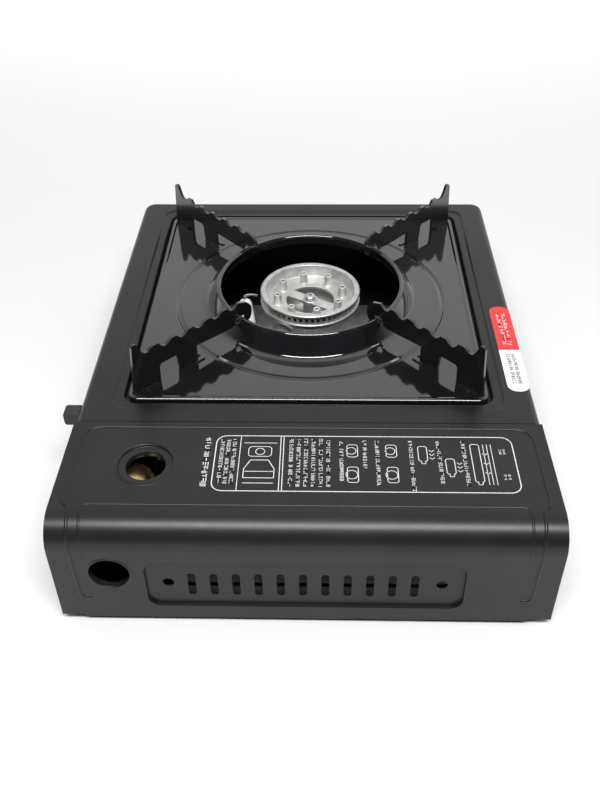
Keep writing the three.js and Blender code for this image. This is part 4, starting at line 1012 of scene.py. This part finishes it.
    def _pair(self, marks: Marks, x0: float, y: float) -> None:
        """Two small symbols one above the other."""
        for x, size in ((12, 5), (31, 6)):
            marks.ring((x0 + x, y), size * 0.55, 0.4)
            marks.frame((x0 + x - size, y - 2.4), (x0 + x + size, y + 3.6), 1.6, 0.4)

    def _cartridge(self, marks: Marks, x: float, y: float, length: float) -> None:
        """A lying cartridge with a heat mark beside it."""
        marks.frame((x - length / 2, y - 2.6), (x + length / 2, y + 2.4), 1.4, 0.42)
        marks.frame((x + length / 2, y - 1.2), (x + length / 2 + 2, y + 1.2), 0.5, 0.4)
        for step in range(3):
            start = x - length / 4 + step * length / 4
            marks.line([(start, y + 3.6), (start + 1.4, y + 5), (start, y + 6.4)], 0.4)

    def _section(self, marks: Marks, x0: float, m: float) -> None:
        """A plain outline of a pot on a ring between the two dividers."""
        y0, y1 = m - 35.6, m - 16.6
        middle = (y0 + y1) / 2
        marks.line([(x0 + 6, y0), (x0 + 6, y1)], 0.4)
        marks.frame((x0 + 9, y0 + 3), (x0 + 17, y1 - 3), 2, 0.4)
        marks.ring((x0 + 13, middle), 2.6, 0.4)
        marks.line([(x0 + 20, middle - 5), (x0 + 20, middle + 5), (x0 + 27, middle + 8.5),
                    (x0 + 34, middle + 8.5), (x0 + 34, middle - 8.5), (x0 + 27, middle - 8.5)], 0.45,
                   closed=True)
        marks.bar((x0 + 29, middle - 8.5), (x0 + 29, middle + 8.5), 0.4)
        marks.bar((x0 + 38, y0 + 1), (x0 + 38, y1 - 1), 0.4)

    def build(self) -> None:
        """Makes the lid's pieces."""
        refined("cartridge_lid", "lid_sheet", edge=0.3)
        self.beads()
        self.hole_rims()
        self.label()
        for end in ("front", "rear"):
            refined(f"hinge_pin_{end}", f"hinge_rivet_{end}", edge=0.3)


# ---------------------------------------------------------------- drip pan
@dataclass
class DripPan:
    """The enamelled pan with its wind collar, and the four toothed supports.

    The clips are pairs of a distance from the burner and a height above the plate.
    """

    skirt_round: float = 1.6
    corner: float = 7.0
    bead_height: float = 0.6
    bead_width: float = 3.4
    groove_inside: float = 90.0
    groove_outside: float = 94.6
    groove_depth: float = 0.9
    foot_spread: float = 4.0
    rim_round: float = 2.0
    clips: tuple[tuple[float, float], ...] = ((101.5, 0.0), (139.5, 0.0), (68.6, 11.2))
    clip_half: tuple[float, float] = (4.0, 1.5)
    clip_off_support: float = 2.6
    clip_on_collar: float = 0.45
    collar_base: float = 71.5
    collar_rim: float = 65.1
    collar_inside: float = 61.5
    collar_height: float = 13.8
    skirt_inside: float = 7.0
    sheet: float = 0.7

    def __post_init__(self) -> None:
        """Reads the pan's place and the burner's middle from the frame."""
        self.low, self.high = box_mm("drip_pan")
        self.plate = self.high.z - self.collar_height
        low, high = box_mm("burner_cap")
        self.middle = (low + high) / 2
        self.rays = [
            math.atan2(p.y - self.middle.y, p.x - self.middle.x) for p in self.rim(3.0, 0)
        ]

    def rim(self, inset: float, z: float) -> list[Vector]:
        """A loop parallel to the pan's edge."""
        low, high = self.low, self.high
        return round_rectangle((low.x + inset, low.y + inset), (high.x - inset, high.y - inset),
                               max(self.corner - inset, 2.0), z, corner_steps=10, side_steps=26)

    def ring(self, radius: float, z: float) -> list[Vector]:
        """A circle round the burner whose points face the edge's points."""
        return [Vector((self.middle.x + radius * math.cos(a), self.middle.y + radius * math.sin(a), z))
                for a in self.rays]

    def pan(self) -> bpy.types.Object:
        """The pan: skirt, raised edge, plate with its groove, and collar."""
        plate, r = self.plate, self.skirt_round
        top = plate + self.bead_height
        loft = Loft(self.rim(0, self.low.z)).to(self.rim(0, top - r))
        for step in range(1, 6):
            turn = step / 5 * QUARTER
            loft.to(self.rim(r * (1 - math.cos(turn)), top - r + r * math.sin(turn)))
        for step in range(6):
            turn = step / 5 * math.pi
            inset = self.bead_width - 1.0 + step / 5 * 1.6
            loft.to(self.rim(inset, plate + self.bead_height * (1 + math.cos(turn)) / 2))
        inner, outer = self.groove_inside, self.groove_outside
        steps = 10
        for step in range(steps + 1):
            share = step / steps
            fall = self.groove_depth * math.sin(share * math.pi) ** 2
            loft.to(self.ring(outer + (inner - outer) * share, plate - fall))
        foot = self.collar_base + self.foot_spread
        loft.to(self.ring(foot + 1.5, plate))
        wall = [(foot, plate), (self.collar_base + 1.6, plate + 0.35), (self.collar_base + 0.2, plate + 1.3),
                (self.collar_base - 0.8, plate + 3.0)]
        rim_z = plate + self.collar_height
        wall += [(self.collar_rim + 1.1, rim_z - 3.2)]
        middle = (self.collar_rim + self.collar_inside) / 2
        half = (self.collar_rim - self.collar_inside) / 2
        wall += [(middle + half * math.cos(a), rim_z - self.rim_round * (1 - math.sin(a)))
                 for a in [step * math.pi / 10 for step in range(11)]]
        wall += [(self.collar_inside - 0.1, rim_z - self.skirt_inside)]
        loft.through(self.ring(radius, z) for radius, z in wall)
        mesh = loft.mesh
        face_up(mesh)
        return Piece("enamelled_pan", Body.PAN, ENAMEL, ("drip_pan",), sheet=self.sheet).make(mesh)

    def support_clips(self) -> None:
        """The bent tabs that hold each support to the plate and the collar."""
        meshes = []
        for quarter in range(4):
            angle = math.radians(45 + 90 * quarter)
            outward = Vector((math.cos(angle), math.sin(angle), 0))
            side = Vector((-outward.y, outward.x, 0))
            for reach, height in self.clips:
                for way in (-1, 1):
                    centre = self.middle + outward * reach + side * way * self.clip_off_support
                    centre.z = self.plate + height + 0.5
                    long, wide = self.clip_half
                    loop = round_rectangle((-long, -wide), (long, wide), 1.2, 0, corner_steps=3)
                    outline = [(p.x, p.y) for p in loop]
                    clip = prism(outline, -0.6, 0.5)
                    soften(clip, 0.35)
                    size = self.clip_on_collar if height else 1.0
                    bmesh.ops.scale(clip, verts=clip.verts, vec=(size, size, 1.0))
                    bmesh.ops.rotate(clip, verts=clip.verts, cent=(0, 0, 0),
                                     matrix=Matrix.Rotation(angle, 3, "Z"))
                    bmesh.ops.translate(clip, verts=clip.verts, vec=centre * MM)
                    meshes.append(clip)
        Piece("support_fixing_tabs", Body.PAN, ENAMEL).make(joined(meshes))

    def build(self) -> None:
        """Makes the pan and dresses the supports."""
        self.pan()
        self.support_clips()
        for corner in ("front_right", "rear_right", "rear_left", "front_left"):
            refined(f"pan_support_{corner}", f"toothed_support_{corner}", SUPPORT_ENAMEL, edge=0.35)


# ---------------------------------------------------------------- burner
@dataclass
class Burner:
    """The ring burner: cap with posts, port ring, cast cup with its mixing tube."""

    radius: float = 34.9
    rim_width: float = 4.0
    recess: float = 9.0
    opening: float = 16.8
    post_circle: float = 23.2
    post_radius: float = 2.7
    post_height: float = 7.6
    post_hole: float = 1.15
    posts: int = 8
    first_post: float = 12.15
    bar_half: float = 4.2
    bar_angle: float = 59.0
    boss: float = 5.4
    ports: int = 52
    port_height: float = 4.1
    port_edge: float = 0.8
    port_share: float = 0.58
    rim_height: float = 1.8

    def __post_init__(self) -> None:
        """Reads the burner's place from the frame."""
        low, high = box_mm("burner_cap")
        self.middle = (low + high) / 2
        self.middle.z = 0
        self.top = high.z
        self.ring_low, self.ring_high = (corner.z for corner in box_mm("port_ring"))

    def _placed(self, mesh: bmesh.types.BMesh, x: float = 0, y: float = 0) -> bmesh.types.BMesh:
        """Moves a mesh from the axis to its place on the burner."""
        place = (self.middle + Vector((x, y, 0))) * MM
        bmesh.ops.translate(mesh, verts=mesh.verts, vec=place)
        return mesh

    def cap(self) -> None:
        """The cap: rim, sunk floor, crossing bar, boss and hollow posts."""
        top, r = self.top, self.radius
        inside = r - self.rim_width
        floor = top - self.recess
        low = top - self.rim_height
        rim = [(inside - 0.1, low), (r - 0.4, low)]
        rim += arc_points((r - 0.4, low + 0.4), 0.4, -90, 0, 3)
        rim += arc_points((r - 1.1, top - 1.1), 1.1, 0, 90, 6)
        rim += arc_points((inside + 0.7, top - 0.7), 0.7, 90, 180, 5)
        rim += [(inside - 0.1, top - 1.2), (inside - 0.1, low)]
        Piece("burner_rim", Body.CASING, MACHINED).make(self._placed(turned(rim, 128)))
        bowl = [(inside + 0.1, top - 1.2), (inside - 0.3, floor + 1.6)]
        bowl += arc_points((inside - 1.7, floor + 1.4), 1.4, 0, -90, 5)
        bowl += arc_points((self.opening + 0.5, floor - 0.5), 0.5, 90, 180, 4)
        bowl += [(self.opening, floor - 2.0)]
        bowl_mesh = self._placed(turned(bowl, 128))
        Piece("burner_floor", Body.CASING, CAST, ("burner_cap",), sheet=0.5).make(bowl_mesh)
        bar = prism([(-18.2, -self.bar_half), (18.2, -self.bar_half), (18.2, self.bar_half),
                     (-18.2, self.bar_half)], floor - 2.0, floor - 0.05)
        soften(bar, 0.4)
        bmesh.ops.rotate(bar, verts=bar.verts, cent=(0, 0, 0),
                         matrix=Matrix.Rotation(math.radians(self.bar_angle), 3, "Z"))
        boss = turned([(0, floor - 2.0), (self.boss, floor - 2.0), (self.boss, floor + 0.5),
                       (self.boss - 0.4, floor + 0.9), (0, floor + 0.9)], 40)
        parts = [self._placed(bar), self._placed(boss)]
        for order in range(self.posts):
            angle = math.radians(self.first_post + order * 360 / self.posts)
            x, y = self.post_circle * math.cos(angle), self.post_circle * math.sin(angle)
            parts.append(self._placed(self._post(floor), x, y))
        Piece("burner_posts_and_bar", Body.CASING, CAST).make(joined(parts))

    def _post(self, floor: float) -> bmesh.types.BMesh:
        """One hollow post with a fillet at its foot."""
        tip = floor + self.post_height
        foot = self.post_radius + 0.25
        profile = [(foot + 0.9, floor - 0.3)]
        profile += arc_points((foot + 0.9, floor + 0.85), 0.9, -90, -180, 4)
        profile += [(self.post_radius - 0.1, tip - 0.4)]
        profile += arc_points((self.post_radius - 0.5, tip - 0.4), 0.4, 0, 90, 3)
        profile += [(self.post_hole + 0.2, tip), (self.post_hole, tip - 0.2), (self.post_hole, tip - 5),
                    (0, tip - 5)]
        return turned(profile, 28)

    def screw(self) -> None:
        """The middle screw, whose cross recess is drawn as two black bars of painted shade on the head."""
        low, high = box_mm("burner_screw")
        z = high.z
        outline = [(0, -2.4), (4.1, -2.4), (4.1, -1.6), (3.3, -0.5), (2.0, -0.05), (0, 0)]
        head = turned([(radius, z + rise) for radius, rise in outline], 40)
        soften(head, 0.1)
        meshes = [head]
        for turn in (35, 125):
            slot = prism([(-1.9, -0.35), (1.9, -0.35), (1.9, 0.35), (-1.9, 0.35)], z - 0.1, z + 0.02)
            bmesh.ops.rotate(slot, verts=slot.verts, cent=(0, 0, 0),
                             matrix=Matrix.Rotation(math.radians(turn), 3, "Z"))
            meshes.append(slot)
        # The black second finish on the bars' tops is painted shade that stands for the cross recess.
        Piece("burner_middle_screw", Body.CASING, STEEL, ("burner_screw",), second=PLASTIC,
              second_where=lambda p: p.z > z - 0.02 and (p.xy - self.middle.xy).length < 1.6).make(
            self._placed(joined(meshes)))

    def port_ring(self) -> None:
        """The slotted ring whose square ports let the flame out, with a near-black ring of painted shade
        behind the ports.
        """
        outside, inside = self.radius - 0.9, self.radius - 3.4
        low, high = self.ring_low, self.ring_high
        port_high = high - self.port_edge
        port_low = port_high - self.port_height
        bands = [turned([(inside, a), (outside, a), (outside, b), (inside, b), (inside, a)], 104)
                 for a, b in ((low, port_low), (port_high, high))]
        pitch = 2 * math.pi / self.ports
        half = outside * pitch * (1 - self.port_share) / 2
        bars = []
        for order in range(self.ports):
            outline = [(inside + 0.1, -half), (outside - 0.05, -half), (outside - 0.05, half),
                       (inside + 0.1, half)]
            bar = prism(outline, port_low - 0.3, port_high + 0.3)
            bmesh.ops.rotate(bar, verts=bar.verts, cent=(0, 0, 0),
                             matrix=Matrix.Rotation(order * pitch, 3, "Z"))
            bars.append(bar)
        ring = self._placed(joined(bands + bars))
        Piece("port_ring_wall", Body.CASING, CAST, ("port_ring",)).make(ring)
        # A near-black ring just inside the ports: painted shade for the dark inside of the burner, seen
        # through the ports.
        dark = [(inside - 0.5, low), (inside - 0.2, low), (inside - 0.2, high), (inside - 0.5, high),
                (inside - 0.5, low)]
        Piece("port_ring_painted_shade_wall", Body.CASING, PAINTED_SHADE).make(self._placed(turned(dark, 104)))
        lip_out = self.radius + 0.1
        lip = [(inside, low + 0.6), (lip_out - 0.8, low + 0.6)]
        lip += arc_points((lip_out - 0.8, low - 0.2), 0.8, 90, -90, 6)
        lip += [(inside, low - 1.0), (inside, low + 0.6)]
        Piece("port_ring_lip", Body.CASING, MACHINED).make(self._placed(turned(lip, 128)))

    def build(self) -> None:
        """Makes the burner's pieces."""
        self.cap()
        self.screw()
        self.port_ring()
        refined("burner_base", "burner_cup_and_tube")
        refined("burner_bracket", "burner_bridge", edge=0.3)
        for end in ("front", "rear"):
            refined(f"bracket_screw_{end}", f"bridge_screw_{end}", edge=0.15)
        refined("heat_reflector", "reflector_sheet")
        refined("tube_support", "mixing_tube_saddle", edge=0.2)


# ---------------------------------------------------------------- controls
@dataclass
class Controls:
    """The knob in its pocket, the regulator and gas path, the lock lever and the ignition.

    The pointer has a half width, and a start and an end above the knob's axis.
    """

    plain: tuple[tuple[str, str, float], ...] = (
        ("control_panel", "knob_surround", 0.25),
        ("control_knob", "gas_knob", 0.6),
        ("valve_spindle", "spindle", 0.15),
        ("regulator_body", "regulator_casting", 0.5),
        ("regulator_cover", "regulator_dome", 0.2),
        ("regulator_bracket", "regulator_plate", 0.2),
        ("seat_cup", "cartridge_seat", 0.2),
        ("seat_seal", "seat_washer", 0.2),
        ("gas_pipe", "gas_feed_pipe", 0.0),
        ("gas_jet", "gas_nozzle", 0.2),
        ("piezo_igniter", "spark_unit", 0.5),
        ("panel_screw_left", "surround_screw_left", 0.1),
        ("panel_screw_right", "surround_screw_right", 0.1),
        ("lock_lever", "lever_arm", 0.25),
        ("lever_tab", "lever_finger_tab", 0.8),
        ("lock_shaft", "lever_shaft", 0.2),
        ("lock_crank", "crank_plate", 0.2),
        ("lever_bracket", "shaft_bracket", 0.2),
        ("lever_spring", "return_spring", 0.0),
        ("electrode_insulator", "spark_insulator", 0.4),
        ("electrode_wire", "spark_wire", 0.0),
        ("electrode_clip", "insulator_clip", 0.2),
        ("ignition_lead", "spark_lead", 0.0),
    )
    # Inner sheets of the bay, in a darkened copy of galvanised sheet that stands for painted shade.
    parts_in_painted_shade: tuple[tuple[str, str], ...] = (
        ("bay_partition", "bay_wall"),
        ("can_tray", "cartridge_cradle"),
        ("can_carriage", "sliding_carriage"),
    )
    pointer: tuple[float, float, float] = (0.7, 6.0, 13.2)

    def knob_marks(self) -> None:
        """A white pointer on the knob's grip."""
        low, high = box_mm("control_knob")
        middle = (low + high) / 2
        half, start, end = self.pointer
        pointer = prism([(-half, start), (half, start), (half, end), (-half, end)], 0.0, 0.06)
        bmesh.ops.rotate(pointer, verts=pointer.verts, cent=(0, 0, 0),
                         matrix=Matrix.Rotation(QUARTER, 3, "X"))
        bmesh.ops.translate(pointer, verts=pointer.verts, vec=Vector((middle.x, low.y, middle.z)) * MM)
        Piece("knob_pointer", Body.KNOB, WHITE_PRINT).make(pointer)

    def build(self) -> None:
        """Dresses the controls and the inner parts, the bay's inner sheets in a darkened copy of galvanised
        sheet as painted shade.
        """
        for node, name, edge in self.plain:
            refined(node, name, edge=edge)
        for node, name in self.parts_in_painted_shade:
            refined(node, name, SHADE_DARKENED_ZINC, edge=0.15)
        self.knob_marks()


# ---------------------------------------------------------------- studio
@dataclass
class Studio:
    """A pale floor, one soft light, the surroundings and the camera."""

    eye: tuple[float, float, float] = (0.4889, 0.0154, 0.4273)
    azimuth: float = 0.032
    elevation: float = 0.686
    roll: float = 0.01476
    lens: float = 40.44
    shift: float = -0.01766
    floor_size: float = 12.0
    dark: tuple[float, float, float] = (0.05, 0.05, 0.053)
    bright: tuple[float, float, float] = (0.88, 0.88, 0.88)
    dark_to_bright: tuple[float, float] = (0.30, -0.40)
    dim_side: tuple[float, float] = (-0.75, 0.10)
    side_share: float = 0.35
    floor_glow: float = 0.5
    glow_along: tuple[float, float] = (-0.1, -1.1)
    strip_place: tuple[float, float, float] = (0.70, 0.05, 1.25)
    strip_size: tuple[float, float] = (0.27, 1.1)
    strip_power: float = 22.0
    strip_aim: tuple[float, float] = (0.1, 0.06)

    def camera(self) -> None:
        """Puts the camera in front of the lid, looking down."""
        ahead = Vector((-math.cos(self.elevation) * math.cos(self.azimuth),
                        -math.cos(self.elevation) * math.sin(self.azimuth), -math.sin(self.elevation)))
        right = ahead.cross(UP).normalized()
        up = right.cross(ahead)
        turn = Matrix.Rotation(self.roll, 3, ahead)
        right, up = turn @ right, turn @ up
        data = bpy.data.cameras.new("camera")
        data.lens = self.lens
        data.shift_y = self.shift
        data.clip_start = 0.01
        made = bpy.data.objects.new("camera", data)
        made.matrix_world = Matrix.Translation(self.eye) @ Matrix((right, up, -ahead)).transposed().to_4x4()
        bpy.context.scene.collection.objects.link(made)
        bpy.context.scene.camera = made

    def floor(self) -> None:
        """A wide white floor under the feet."""
        mesh = bmesh.new()
        bmesh.ops.create_grid(mesh, x_segments=2, y_segments=2, size=self.floor_size / 2)
        bmesh.ops.translate(mesh, verts=mesh.verts, vec=(0, 0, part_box("foot_front_left")[0].z))
        data = bpy.data.meshes.new("floor")
        mesh.to_mesh(data)
        mesh.free()
        shader = Shader("white_floor")
        place = shader.node("ShaderNodeTexCoord").outputs["Object"]
        along = Value(shader, shader.node("ShaderNodeSeparateXYZ", None, {0: place}).outputs[0])
        far = along.fade(*self.glow_along)
        shader.set(Base_Color=shader.mix(shader.noise(300, 2), (0.87, 0.87, 0.87), (0.90, 0.90, 0.90)),
                   Roughness=0.9, Emission_Color=shader.mix(far, (0, 0, 0), (1, 1, 1)),
                   Emission_Strength=self.floor_glow)
        data.materials.append(shader.material)
        made = bpy.data.objects.new("floor", data)
        bpy.context.scene.collection.objects.link(made)

    def strip_light(self) -> None:
        """One soft oblong light over the camera, turned to the stove, its longer side across the view."""
        data = bpy.data.lights.new("strip_over_the_camera", "AREA")
        data.shape = "RECTANGLE"
        data.size, data.size_y = self.strip_size
        data.energy = self.strip_power
        made = bpy.data.objects.new(data.name, data)
        along = self.strip_aim[0] - self.strip_place[0]
        down = self.strip_place[2] - self.strip_aim[1]
        tilt = Matrix.Rotation(math.atan2(-along, down), 4, "Y")
        made.matrix_world = Matrix.Translation(self.strip_place) @ tilt
        bpy.context.scene.collection.objects.link(made)

    def surroundings(self) -> None:
        """Surroundings that are white behind the stove and dark behind the camera."""
        world = bpy.data.worlds.new("white_room")
        world.use_nodes = True
        nodes = Nodes(world.node_tree)
        way = nodes.node("ShaderNodeTexCoord").outputs["Generated"]
        parts = nodes.node("ShaderNodeSeparateXYZ", None, {0: way}).outputs
        behind = Value(nodes, parts[0]).fade(*self.dark_to_bright)
        beside = Value(nodes, parts[1]).fade(*self.dim_side)
        share = behind * (beside * self.side_share + (1 - self.side_share))
        back = world.node_tree.nodes["Background"]
        nodes.feed(back.inputs["Color"], nodes.mix(share, self.dark, self.bright))
        bpy.context.scene.world = world
        bpy.context.scene.view_settings.view_transform = "Standard"

    def build(self) -> None:
        """Sets up the studio."""
        self.camera()
        self.floor()
        self.surroundings()
        self.strip_light()


def main() -> None:
    """Builds the stove's looks and its studio."""
    logging.basicConfig(level=logging.INFO, format="%(message)s")
    for assembly in (Studio(), Casing(), CartridgeLid(), DripPan(), Burner(), Controls()):
        LOG.info("building %s", type(assembly).__name__)
        assembly.build()


if __name__ == "__main__":
    main()
